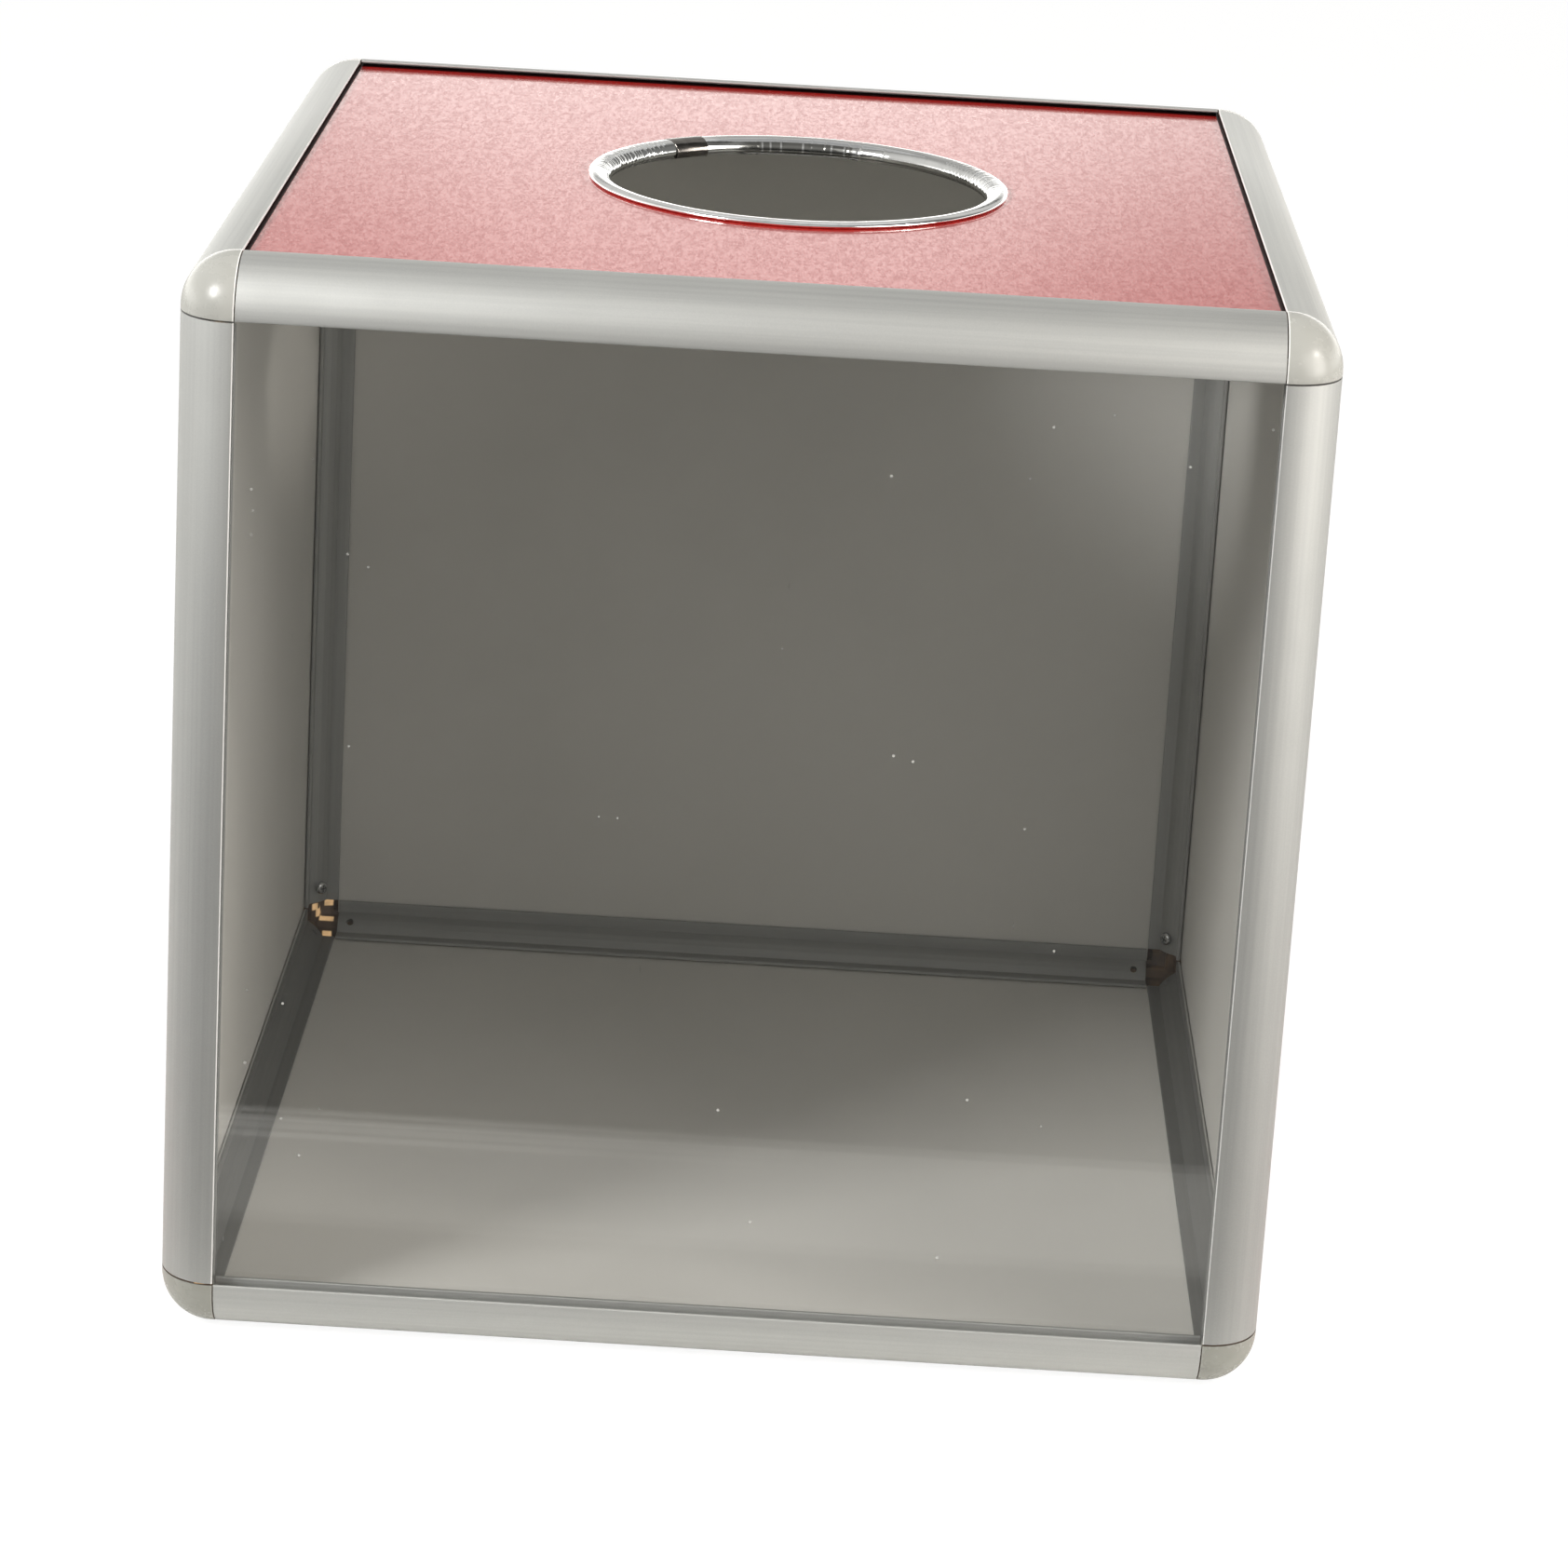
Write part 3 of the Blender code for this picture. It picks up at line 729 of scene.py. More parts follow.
@dataclass(frozen=True)
class DarkSteel:
    """Dark bright steel of the sleeve over the edging's joint."""

    colour: Colour = (0.15, 0.138, 0.13)
    light: Colour = (0.23, 0.215, 0.20)
    streak_scale: Point = (260.0, 260.0, 1500.0)
    streak_span: Span = (0.3, 0.75)
    streak_depth: float = 0.004 * MM
    streak_strength: float = 0.5
    roughness: float = 0.17
    roughness_gain: float = 0.08

    def make(self) -> bpy.types.Material:
        """Material for the sleeve and its curled tab."""
        graph = Graph("dark_steel")
        streak = graph.noise(graph.place(self.streak_scale), 1.0, 2.0).rise(*self.streak_span)
        return graph.dress(
            Base_Color=graph.blend(streak, self.colour, self.light),
            Metallic=1.0,
            Roughness=self.roughness + streak * self.roughness_gain,
            Normal=graph.bump(streak, self.streak_depth, self.streak_strength),
        )


@dataclass(frozen=True)
class ScrewSteel:
    """Bright zinc on the pan head screws."""

    colour: Colour = (0.66, 0.67, 0.67)
    dull: Colour = (0.10, 0.10, 0.098)
    tarnish_scale: float = 900.0
    tarnish_span: Span = (0.4, 0.75)
    tarnish_depth: float = 0.02 * MM
    tarnish_strength: float = 0.5
    roughness: float = 0.14
    roughness_gain: float = 0.2

    def make(self) -> bpy.types.Material:
        """Material for the screws."""
        graph = Graph("screw_steel")
        tarnish = graph.noise(graph.place(), self.tarnish_scale, 3.0).rise(*self.tarnish_span)
        return graph.dress(
            Base_Color=graph.blend(tarnish, self.colour, self.dull),
            Metallic=1.0,
            Roughness=self.roughness + tarnish * self.roughness_gain,
            Normal=graph.bump(tarnish, self.tarnish_depth, self.tarnish_strength),
        )


# Modelling by operators


class Bench:
    """Operators on one mesh object at a time."""

    @staticmethod
    def take(item: bpy.types.Object) -> bpy.types.Object:
        """Select one object alone in object mode and make it active."""
        if bpy.context.mode != "OBJECT":
            bpy.ops.object.mode_set(mode="OBJECT")
        bpy.ops.object.select_all(action="DESELECT")
        item.select_set(True)
        bpy.context.view_layer.objects.active = item
        return item

    @staticmethod
    def named(name: str) -> bpy.types.Object:
        """Name the object that an operator has just added, and put its place in its mesh."""
        item = bpy.context.active_object
        item.name = item.data.name = name
        bpy.ops.object.transform_apply(location=True, rotation=True, scale=True)
        return item

    @staticmethod
    def block(name: str, low: Point, high: Point) -> bpy.types.Object:
        """Box between two corners."""
        bpy.ops.object.select_all(action="DESELECT")
        low, high = Vector(low), Vector(high)
        bpy.ops.mesh.primitive_cube_add(size=1.0, location=(low + high) / 2, scale=high - low)
        return Bench.named(name)

    @staticmethod
    def drum(
        name: str, radius: float, low: float, high: float, steps: int, centre: Point = (0.0, 0.0)
    ) -> bpy.types.Object:
        """Upright cylinder between two heights."""
        bpy.ops.object.select_all(action="DESELECT")
        bpy.ops.mesh.primitive_cylinder_add(
            vertices=steps, radius=radius, depth=high - low, location=(*centre, (low + high) / 2)
        )
        return Bench.named(name)

    @staticmethod
    def edit(item: bpy.types.Object, mode: str) -> None:
        """Go to edit mode on a piece, with nothing selected, in VERT, EDGE or FACE mode."""
        Bench.take(item)
        bpy.ops.object.mode_set(mode="EDIT")
        bpy.ops.mesh.select_mode(type=mode)
        bpy.ops.mesh.select_all(action="DESELECT")

    @staticmethod
    def pick_faces(item: bpy.types.Object, test: Callable[[bmesh.types.BMFace], bool]) -> None:
        """Go to edit mode and select the faces that pass a test."""
        Bench.edit(item, "FACE")
        for face in bmesh.from_edit_mesh(item.data).faces:
            face.select_set(test(face))
        bmesh.update_edit_mesh(item.data)

    @staticmethod
    def round_edges(
        item: bpy.types.Object, test: Callable[[Vector, Vector], bool], width: float, steps: int
    ) -> None:
        """Round some edges of a piece.

        Args:
            item: Piece in object mode.
            test: True for the two ends of an edge to round.
            width: How far the rounding reaches on each side.
            steps: Facets across it.
        """
        Bench.edit(item, "EDGE")
        for edge in bmesh.from_edit_mesh(item.data).edges:
            edge.select_set(test(edge.verts[0].co, edge.verts[1].co))
        bmesh.update_edit_mesh(item.data)
        bpy.ops.mesh.bevel(offset=width, segments=steps, profile=0.5, affect="EDGES", clamp_overlap=False)
        Bench.leave(item)

    @staticmethod
    def leave(item: bpy.types.Object) -> bpy.types.Object:
        """Back to object mode."""
        bpy.ops.object.mode_set(mode="OBJECT")
        return item

    @staticmethod
    def pen(name: str, start: Point) -> bpy.types.Object:
        """One loose point in edit mode, from which an outline is drawn."""
        bpy.ops.object.select_all(action="DESELECT")
        bpy.ops.mesh.primitive_plane_add(size=MM)
        item = Bench.named(name)
        Bench.edit(item, "VERT")
        bpy.ops.mesh.select_all(action="SELECT")
        bpy.ops.mesh.merge(type="CENTER")
        bpy.ops.transform.translate(value=start)
        return item

    @staticmethod
    def draw(points: Iterable[Point], start: Point) -> None:
        """Extrude the selected point along straight runs."""
        before = Vector(start)
        for point in points:
            after = Vector(point)
            bpy.ops.mesh.extrude_region_move(TRANSFORM_OT_translate={"value": after - before})
            before = after

    @staticmethod
    def close() -> None:
        """Join the drawn outline's ends and fill it with one face."""
        bpy.ops.mesh.select_all(action="SELECT")
        bpy.ops.mesh.remove_doubles(threshold=WELD)
        bpy.ops.mesh.edge_face_add()

    @staticmethod
    def pull(value: Point) -> None:
        """Extrude the selected faces."""
        bpy.ops.mesh.extrude_region_move(TRANSFORM_OT_translate={"value": value})

    @staticmethod
    def outward(item: bpy.types.Object) -> bpy.types.Object:
        """Merge doubles, turn all faces outward and leave edit mode."""
        Bench.take(item)
        bpy.ops.object.mode_set(mode="EDIT")
        bpy.ops.mesh.select_all(action="SELECT")
        bpy.ops.mesh.remove_doubles(threshold=WELD)
        bpy.ops.mesh.normals_make_consistent(inside=False)
        return Bench.leave(item)

    @staticmethod
    def combine(item: bpy.types.Object, tool: bpy.types.Object, operation: str) -> bpy.types.Object:
        """Cut or join a piece with a tool, which is used up.

        Args:
            item: Piece that stays.
            tool: Closed mesh that goes.
            operation: DIFFERENCE, UNION or INTERSECT.

        Returns:
            The piece.
        """
        Bench.take(item)
        step = item.modifiers.new("step", "BOOLEAN")
        step.operation = operation
        step.solver = "EXACT"
        step.object = tool
        bpy.ops.object.modifier_apply(modifier=step.name)
        bpy.data.objects.remove(tool, do_unlink=True)
        return item

    @staticmethod
    def copy(item: bpy.types.Object, name: str, matrix: Matrix = Matrix.Identity(4)) -> bpy.types.Object:
        """Copy of a piece with its own mesh, which the matrix places."""
        made = item.copy()
        made.data = item.data.copy()
        made.name = made.data.name = name
        bpy.context.collection.objects.link(made)
        made.data.transform(matrix)
        made.data.update()
        return made

    @staticmethod
    def smooth(item: bpy.types.Object, degrees: float = 32.0) -> bpy.types.Object:
        """Shade smooth, with edges sharper than an angle left sharp."""
        Bench.take(item)
        bpy.ops.object.shade_smooth_by_angle(angle=math.radians(degrees))
        return item

    @staticmethod
    def discard(item: bpy.types.Object) -> None:
        """Remove a pattern piece after its copies are made."""
        bpy.data.objects.remove(item, do_unlink=True)


@dataclass
class BoxShell:
    """Outer box of the frame, and where its sides and edges are."""

    low: Vector = field(default_factory=lambda: CAD_BOX[0].copy())
    high: Vector = field(default_factory=lambda: CAD_BOX[1].copy())

    @property
    def centre(self) -> Vector:
        """Middle of the box."""
        return (self.low + self.high) / 2

    @property
    def half(self) -> Vector:
        """Half its size along each axis."""
        return (self.high - self.low) / 2

    def spot(self, signs: Sequence[int]) -> Vector:
        """Point of the box for signs of -1, 0 or 1 along each axis."""
        return self.centre + Vector([sign * half for sign, half in zip(signs, self.half)])

    @staticmethod
    def inward(axis: int, sign: int) -> Vector:
        """Unit direction along an axis, in from the side with this sign."""
        direction = Vector((0.0, 0.0, 0.0))
        direction[axis] = -sign
        return direction

    @staticmethod
    def matrix(origin: Vector, first: Vector, second: Vector) -> Matrix:
        """Placement whose local X and Y run along two square directions."""
        third = first.cross(second)
        return Matrix.Translation(origin) @ Matrix((first, second, third)).transposed().to_4x4()


SIDE_NAMES = {
    Axis.X: {-1: "left", 1: "right"},
    Axis.Y: {-1: "front", 1: "rear"},
    Axis.Z: {-1: "bottom", 1: "top"},
}


@dataclass
class SubAssembly:
    """Pieces of one kind, which ride on the box's only body."""

    shell: BoxShell
    count: int = field(default=0, init=False)

    @staticmethod
    def box_corners() -> Iterator[tuple[tuple[int, int, int], str]]:
        """Signs along X, Y and Z of the box's eight corners, each with the corner's name."""
        for level, depth, hand in itertools.product((-1, 1), repeat=3):
            sides = (SIDE_NAMES[Axis.Y][depth], SIDE_NAMES[Axis.X][hand], SIDE_NAMES[Axis.Z][level])
            yield (hand, depth, level), "_".join(sides)

    def hand_over(
        self, piece: bpy.types.Object, node: str, slot: Slot, *finishes: bpy.types.Material
    ) -> None:
        """Dress a finished piece, and let it stand for its node.

        Args:
            piece: Finished mesh object.
            node: CAD node that it stands for.
            slot: The record's material slot, not used.
            finishes: Materials in slot order.
        """
        for finish in finishes:
            piece.data.materials.append(finish)
        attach(piece, "root")
        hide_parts(node)
        self.count += 1
        LOG.info("%s: %d faces", piece.name, len(piece.data.polygons))


@dataclass
class RailSection:
    """Section of the edge rails, measured in from the box's two outer faces."""

    reach: float = 14.5 * MM
    rounding: float = 13.5 * MM
    lip: float = 1.4 * MM
    lip_edge: float = 0.75 * MM
    undercut: float = 1.6 * MM
    groove_bottom: float = 10.0 * MM
    slot_top: float = 5.0 * MM
    flange_top: float = 6.1 * MM
    facet_start: float = 10.9 * MM
    ridge_rise: float = 0.4 * MM
    ridge_band_share: float = 0.30
    arc_steps: int = 28

    def straight_points(self) -> list[Point]:
        """Corners of the section from one lip's edge to the other's."""
        middle = (self.facet_start + self.flange_top) / 2 + self.ridge_rise / math.sqrt(2)
        half_band = (self.facet_start - self.flange_top) * self.ridge_band_share / 2
        lower = [
            (self.reach, 0.0),
            (self.reach, self.lip_edge),
            (self.reach - self.undercut, self.lip_edge),
            (self.groove_bottom, self.lip),
            (self.groove_bottom, self.slot_top),
            (self.reach, self.slot_top),
            (self.reach, self.flange_top),
            (self.facet_start, self.flange_top),
            (middle + half_band, middle - half_band),
        ]
        upper = [(second, first) for first, second in reversed(lower)]
        return [(x, y, 0.0) for x, y in lower + upper + [(0.0, self.rounding)]]


@dataclass
class Rails(SubAssembly):
    """Twelve extruded rails and posts with softened lips and drilled inner faces."""

    section: RailSection = field(default_factory=RailSection)
    lip_softening: float = 0.30 * MM
    lip_steps: int = 3
    end_softening: float = 0.07 * MM
    end_steps: int = 2
    rail_hole_radius: float = 1.05 * MM
    rail_hole_inset: float = 3.8 * MM
    post_hole_radius: float = 1.4 * MM
    post_hole_inset: float = 5.0 * MM
    hole_depth: float = 4.0 * MM
    hole_steps: int = 24
    # Painted light tone per run: X rails, Y rails, posts.
    lit_tone_shares: tuple[float, float, float] = (1.0, 1.24, 0.88)
    # Share of the painted highlight on the lips, per run.
    glint_shares: tuple[float, float, float] = (0.0, 1.0, 0.75)
    # Share of tone kept under the painted shade on faces inside the box, per run.
    inside_lit_shares: tuple[float, float, float] = (0.76, 0.48, 1.0)

    def build(self) -> None:
        """Model one rail and one post for each length, and copy them to their edges."""
        for run in Axis:
            first, second = [axis for axis in (Axis.Y, Axis.X, Axis.Z) if axis is not run]
            is_post = run is Axis.Z
            suffix = "post" if is_post else "rail"
            low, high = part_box("front_left_post" if is_post else self.sample(run))
            half_length = (high[run.value] - low[run.value]) / 2
            if is_post:
                pattern = self.model(half_length, self.post_hole_radius, self.post_hole_inset)
            else:
                pattern = self.model(half_length, self.rail_hole_radius, self.rail_hole_inset)
            shares = [shares[run.value] for shares in (self.lit_tone_shares, self.glint_shares, self.inside_lit_shares)]
            finish = AnodisedAluminium(run, *shares).make()
            for sign, other in itertools.product((-1, 1), repeat=2):
                signs = [0, 0, 0]
                signs[first.value], signs[second.value] = sign, other
                matrix = self.shell.matrix(
                    self.shell.spot(signs),
                    self.shell.inward(first.value, sign),
                    self.shell.inward(second.value, other),
                )
                name = f"{SIDE_NAMES[first][sign]}_{SIDE_NAMES[second][other]}_{suffix}"
                piece = Bench.copy(pattern, f"satin_{name}", matrix)
                self.hand_over(piece, name, Slot.RAIL, finish)
            Bench.discard(pattern)

    @staticmethod
    def sample(run: Axis) -> str:
        """A node that runs along X or Y."""
        return "front_bottom_rail" if run is Axis.X else "left_bottom_rail"

    def model(self, half_length: float, hole_radius: float, hole_inset: float) -> bpy.types.Object:
        """Draw the section, extrude it and soften its edges.

        Args:
            half_length: Half the rail's length.
            hole_radius: Radius of the two drilled holes.
            hole_inset: Their distance from the ends.

        Returns:
            The rail, along local Z about its origin.
        """
        section = self.section
        start, *others = section.straight_points()
        base = Vector((0.0, 0.0, -half_length))
        rail = Bench.pen("rail", Vector(start) + base)
        Bench.draw(others, start)
        centre = Vector((section.rounding, section.rounding, -half_length))
        bpy.ops.mesh.spin(steps=section.arc_steps, angle=-QUARTER, center=centre, axis=(0.0, 0.0, 1.0))
        Bench.close()
        Bench.pull((0.0, 0.0, half_length * 2))
        Bench.outward(rail)
        self.soften(rail, half_length)
        for end in (-1, 1):
            self.drill(rail, hole_radius, end * (half_length - hole_inset))
        return Bench.smooth(rail)

    def soften(self, rail: bpy.types.Object, half_length: float) -> None:
        """Round the long edges of lips and flanges, then the rims of both ends."""
        section = self.section
        reaches = (0.0, section.lip_edge, section.slot_top, section.flange_top)
        corners = [(section.reach, height) for height in reaches]
        corners += [(height, section.reach) for height in reaches]

        def is_lip(one: Vector, two: Vector) -> bool:
            """True for a long edge on a lip or flange."""
            if abs(one.z - two.z) < half_length:
                return False
            return any(abs(one.x - x) < WELD and abs(one.y - y) < WELD for x, y in corners)

        Bench.round_edges(rail, is_lip, self.lip_softening, self.lip_steps)

        def is_rim(one: Vector, two: Vector) -> bool:
            """True for an edge of an end face on the outside of the rail."""
            if abs(abs(one.z) - half_length) > WELD or abs(one.z - two.z) > WELD:
                return False
            arc = section.rounding
            on_arc = all(
                abs(math.hypot(point.x - arc, point.y - arc) - arc) < WELD
                and max(point.x, point.y) < arc + WELD
                for point in (one, two)
            )
            return on_arc or all(min(point.x, point.y) < WELD for point in (one, two))

        Bench.round_edges(rail, is_rim, self.end_softening, self.end_steps)

    def drill(self, rail: bpy.types.Object, radius: float, height: float) -> None:
        """Drill the inner face along the diagonal that halves the section."""
        section = self.section
        seat = (section.facet_start + section.flange_top) / math.sqrt(2) + section.ridge_rise
        tool = Bench.drum("drill", radius, seat - self.hole_depth, seat + OVERRUN, self.hole_steps)
        turn = Vector((1.0, 1.0, 0.0)).to_track_quat("Z", "Y").to_matrix().to_4x4()
        tool.data.transform(Matrix.Translation((0.0, 0.0, height)) @ turn)
        Bench.combine(rail, tool, "DIFFERENCE")


@dataclass
class Corners(SubAssembly):
    """Eight ball corners with three legs that reach into the rails."""

    reach: float = 14.5 * MM
    rounding: float = 13.5 * MM
    wall: float = 1.4 * MM
    groove_bottom: float = 10.0 * MM
    slot_top: float = 5.0 * MM
    notch: float = 12.7 * MM
    rim_softening: float = 0.07 * MM
    rim_steps: int = 3
    cavity_rounding: float = 14.0 * MM
    leg_radius: float = 12.2 * MM
    leg_side: float = 8.7 * MM
    leg_diagonal: float = 15.16 * MM
    leg_root: float = 5.075 * MM
    leg_tip: float = 27.5 * MM
    leg_taper: float = 1.2 * MM
    leg_tip_share: float = 0.84
    bound_start: float = 0.7 * MM
    ball_steps: int = 24
    skin: float = 0.45 * MM
    # Strength of the painted glow inside, by hand: strong in the left corners, faint in the right.
    glows: tuple[tuple[int, float], ...] = ((-1, 0.62), (1, 0.015))
    # Colour, mottled tone and painted rim highlight, by level: the lower corners are painted darker as shade,
    # the upper rims near white.
    skins_lit_by_level: tuple[tuple[int, tuple[Colour, Colour, Colour]], ...] = (
        (-1, ((0.27, 0.27, 0.24), (0.29, 0.29, 0.26), (0.33, 0.33, 0.30))),
        (1, ((0.425, 0.425, 0.395), (0.445, 0.445, 0.415), (0.88, 0.88, 0.85))),
    )

    def build(self) -> None:
        """Model one corner and copy it to all eight places."""
        pattern = self.model()
        outsides = {level: CornerPlastic(*shades).make() for level, shades in self.skins_lit_by_level}
        insides = {hand: InnerPlastic(glow).make() for hand, glow in self.glows}
        for signs, name in self.box_corners():
            hand, depth, level = signs
            first, second = self.shell.inward(0, hand), self.shell.inward(1, depth)
            if first.cross(second).z != -level:
                first, second = second, first
            matrix = self.shell.matrix(self.shell.spot(signs), first, second)
            piece = Bench.copy(pattern, f"ball_{name}_corner", matrix)
            self.hand_over(piece, f"{name}_corner", Slot.CORNER, outsides[level], insides[hand])
        Bench.discard(pattern)

    def model(self) -> bpy.types.Object:
        """Ball cap with its cavity, sheet pockets and legs, at the origin and inward along +X, +Y, +Z."""
        corner = self.ball("corner", 0.0, self.reach, self.rounding)
        self.soften(corner)
        cavity = self.ball("cavity", self.wall, self.reach + OVERRUN, self.cavity_rounding)
        Bench.combine(corner, cavity, "DIFFERENCE")
        for turns in range(3):
            Bench.combine(corner, self.turned(self.pocket(), turns), "DIFFERENCE")
        legs = self.leg()
        for turns in (1, 2):
            Bench.combine(legs, self.turned(self.leg(), turns), "UNION")
        bound = self.ball("bound", self.bound_start, self.leg_tip + OVERRUN, self.rounding - self.bound_start)
        Bench.combine(legs, bound, "INTERSECT")
        Bench.combine(corner, legs, "UNION")
        Bench.smooth(corner)
        self.sort_faces(corner)
        return corner

    def ball(self, name: str, start: float, end: float, rounding: float) -> bpy.types.Object:
        """Block between two points on the long diagonal, with the three edges at its start rounded."""
        item = Bench.block(name, (start,) * 3, (max(end, start + rounding) + OVERRUN,) * 3)

        def is_near(one: Vector, two: Vector) -> bool:
            """True for an edge with two coordinates at the start."""
            return sum(abs(a - start) < WELD and abs(b - start) < WELD for a, b in zip(one, two)) == 2

        Bench.round_edges(item, is_near, rounding, self.ball_steps)
        for axis in range(3):
            self.trim(item, axis, end)
        return Bench.outward(item)

    @staticmethod
    def trim(item: bpy.types.Object, axis: int, end: float) -> None:
        """Cut off what lies past a plane square to an axis, and close the cut."""
        Bench.edit(item, "FACE")
        bpy.ops.mesh.select_all(action="SELECT")
        place, normal = Vector((0.0, 0.0, 0.0)), Vector((0.0, 0.0, 0.0))
        place[axis], normal[axis] = end, 1.0
        bpy.ops.mesh.bisect(plane_co=place, plane_no=normal, use_fill=True, clear_outer=True)
        Bench.leave(item)

    @staticmethod
    def turned(item: bpy.types.Object, turns: int) -> bpy.types.Object:
        """Turn a piece by thirds about the long diagonal."""
        third = Matrix(((0, 0, 1, 0), (1, 0, 0, 0), (0, 1, 0, 0), (0, 0, 0, 1)))
        for _ in range(turns):
            item.data.transform(third)
        return item

    def soften(self, corner: bpy.types.Object) -> None:
        """Round the outer rims that meet the rails."""

        def is_rim(one: Vector, two: Vector) -> bool:
            """True for an edge of an end plane on the outside of the ball."""
            on_plane = any(max(abs(a - self.reach), abs(b - self.reach)) < WELD for a, b in zip(one, two))
            return on_plane and all(self.depth(point) < WELD * 3 for point in (one, two))

        Bench.round_edges(corner, is_rim, self.rim_softening, self.rim_steps)

    def depth(self, point: Vector) -> float:
        """Depth of a local point under the ball's outer skin."""
        inner = [max(0.0, self.rounding - part) for part in point]
        return self.rounding - math.sqrt(sum(part * part for part in inner))

    def pocket(self) -> bpy.types.Object:
        """Space for the notched corner of the sheet square to Z."""
        far = self.reach + OVERRUN
        outline = [
            (self.notch, self.groove_bottom),
            (far, self.groove_bottom),
            (far, far),
            (self.groove_bottom, far),
            (self.groove_bottom, self.notch),
            (self.notch, self.notch),
        ]
        return self.prism("pocket", outline, self.wall, self.slot_top)

    def leg(self) -> bpy.types.Object:
        """Leg along Z that fits the hollow of a rail, with a tapered tip."""
        side, taper_start = self.leg_side, self.leg_tip - self.leg_taper
        rise = math.sqrt(self.leg_radius ** 2 - (self.rounding - side) ** 2)
        sweep = 2 * math.acos((rise + self.rounding - side) / math.sqrt(2) / self.leg_radius)
        outline = []
        for step in range(self.ball_steps + 1):
            angle = math.pi * 5 / 4 + sweep * (step / self.ball_steps - 0.5)
            outline.append([self.rounding + self.leg_radius * turn(angle) for turn in (math.cos, math.sin)])
        outline += [(side, self.leg_diagonal - side), (self.leg_diagonal - side, side)]
        item = self.prism("leg", outline, self.leg_root, taper_start)
        Bench.pick_faces(item, lambda face: all(vert.co.z > taper_start - WELD for vert in face.verts))
        Bench.pull((0.0, 0.0, self.leg_taper))
        bpy.ops.transform.resize(value=(self.leg_tip_share, self.leg_tip_share, 1.0))
        Bench.leave(item)
        return Bench.outward(item)

    @staticmethod
    def prism(name: str, outline: Sequence[Point], low: float, high: float) -> bpy.types.Object:
        """Closed outline drawn at a height and extruded to another."""
        points = [Vector((x, y, low)) for x, y in outline]
        item = Bench.pen(name, points[0])
        Bench.draw(points[1:], points[0])
        Bench.close()
        Bench.pull((0.0, 0.0, high - low))
        return Bench.outward(item)

    def sort_faces(self, corner: bpy.types.Object) -> None:
        """Number the faces: 0 the outer skin, 1 all that lies under it."""
        for face in corner.data.polygons:
            face.material_index = 0 if self.depth(face.center) < self.skin else 1


@dataclass
class Screws(SubAssembly):
    """Eight pan head screws with cross recesses, at both ends of each post."""

    shank_radius: float = 1.1 * MM
    shank_length: float = 4.5 * MM
    tip_length: float = 0.8 * MM
    head_radius: float = 2.0 * MM
    head_height: float = 1.3 * MM
    recess_width: float = 0.42 * MM
    recess_length: float = 2.2 * MM
    recess_depth: float = 0.8 * MM
    recess_turn: float = math.radians(20)
    recess_turns: tuple[float, float, float] = (math.radians(35), math.radians(15), 0.0)
    tip_share: float = 0.1
    dome_share: float = 0.72
    dome_steps: int = 7
    steps: int = 40

    def build(self) -> None:
        """Model one screw and copy it to both ends of each post."""
        pattern = self.model()
        finish = ScrewSteel().make()
        for signs, name in self.box_corners():
            low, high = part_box(f"{name}_screw")
            inward = Vector((-signs[0], -signs[1], 0)).normalized()
            seat = (low + high) / 2 + inward * ((self.shank_length - self.head_height) / 2)
            turn = inward.to_track_quat("Z", "Y").to_matrix().to_4x4()
            angle = self.recess_turn + sum(sign * part for sign, part in zip(signs, self.recess_turns))
            matrix = Matrix.Translation(seat) @ turn @ Matrix.Rotation(angle, 4, "Z")
            piece = Bench.copy(pattern, f"zinc_{name}_screw", matrix)
            self.hand_over(piece, f"{name}_screw", Slot.SCREW, finish)
        Bench.discard(pattern)

    def model(self) -> bpy.types.Object:
        """Screw that points down -Z, with the underside of its head at Z = 0."""
        screw = Bench.drum("screw", self.shank_radius, self.tip_length - self.shank_length, 0.0, self.steps)
        Bench.pick_faces(screw, lambda face: face.normal.z > FACING)
        Bench.pull((0.0, 0.0, 0.0))
        grow = self.head_radius / self.shank_radius
        bpy.ops.transform.resize(value=(grow, grow, 1.0))
        Bench.pull((0.0, 0.0, self.head_height))
        Bench.leave(screw)
        Bench.pick_faces(screw, lambda face: face.normal.z < -FACING and face.calc_center_median().z < -MM)
        Bench.pull((0.0, 0.0, -self.tip_length))
        bpy.ops.transform.resize(value=(self.tip_share, self.tip_share, 1.0))
        Bench.leave(screw)
        rim, dome = self.head_height - WELD, self.head_height * self.dome_share
        Bench.round_edges(screw, lambda one, two: min(one.z, two.z) > rim, dome, self.dome_steps)
        Bench.outward(screw)
        half, width = self.recess_length / 2, self.recess_width / 2
        floor, top = self.head_height - self.recess_depth, self.head_height + OVERRUN
        for turn in (0.0, QUARTER):
            slot = Bench.block("recess", (-half, -width, floor), (half, width, top))
            slot.data.transform(Matrix.Rotation(turn, 4, "Z"))
            Bench.combine(screw, slot, "DIFFERENCE")
        return Bench.smooth(screw)


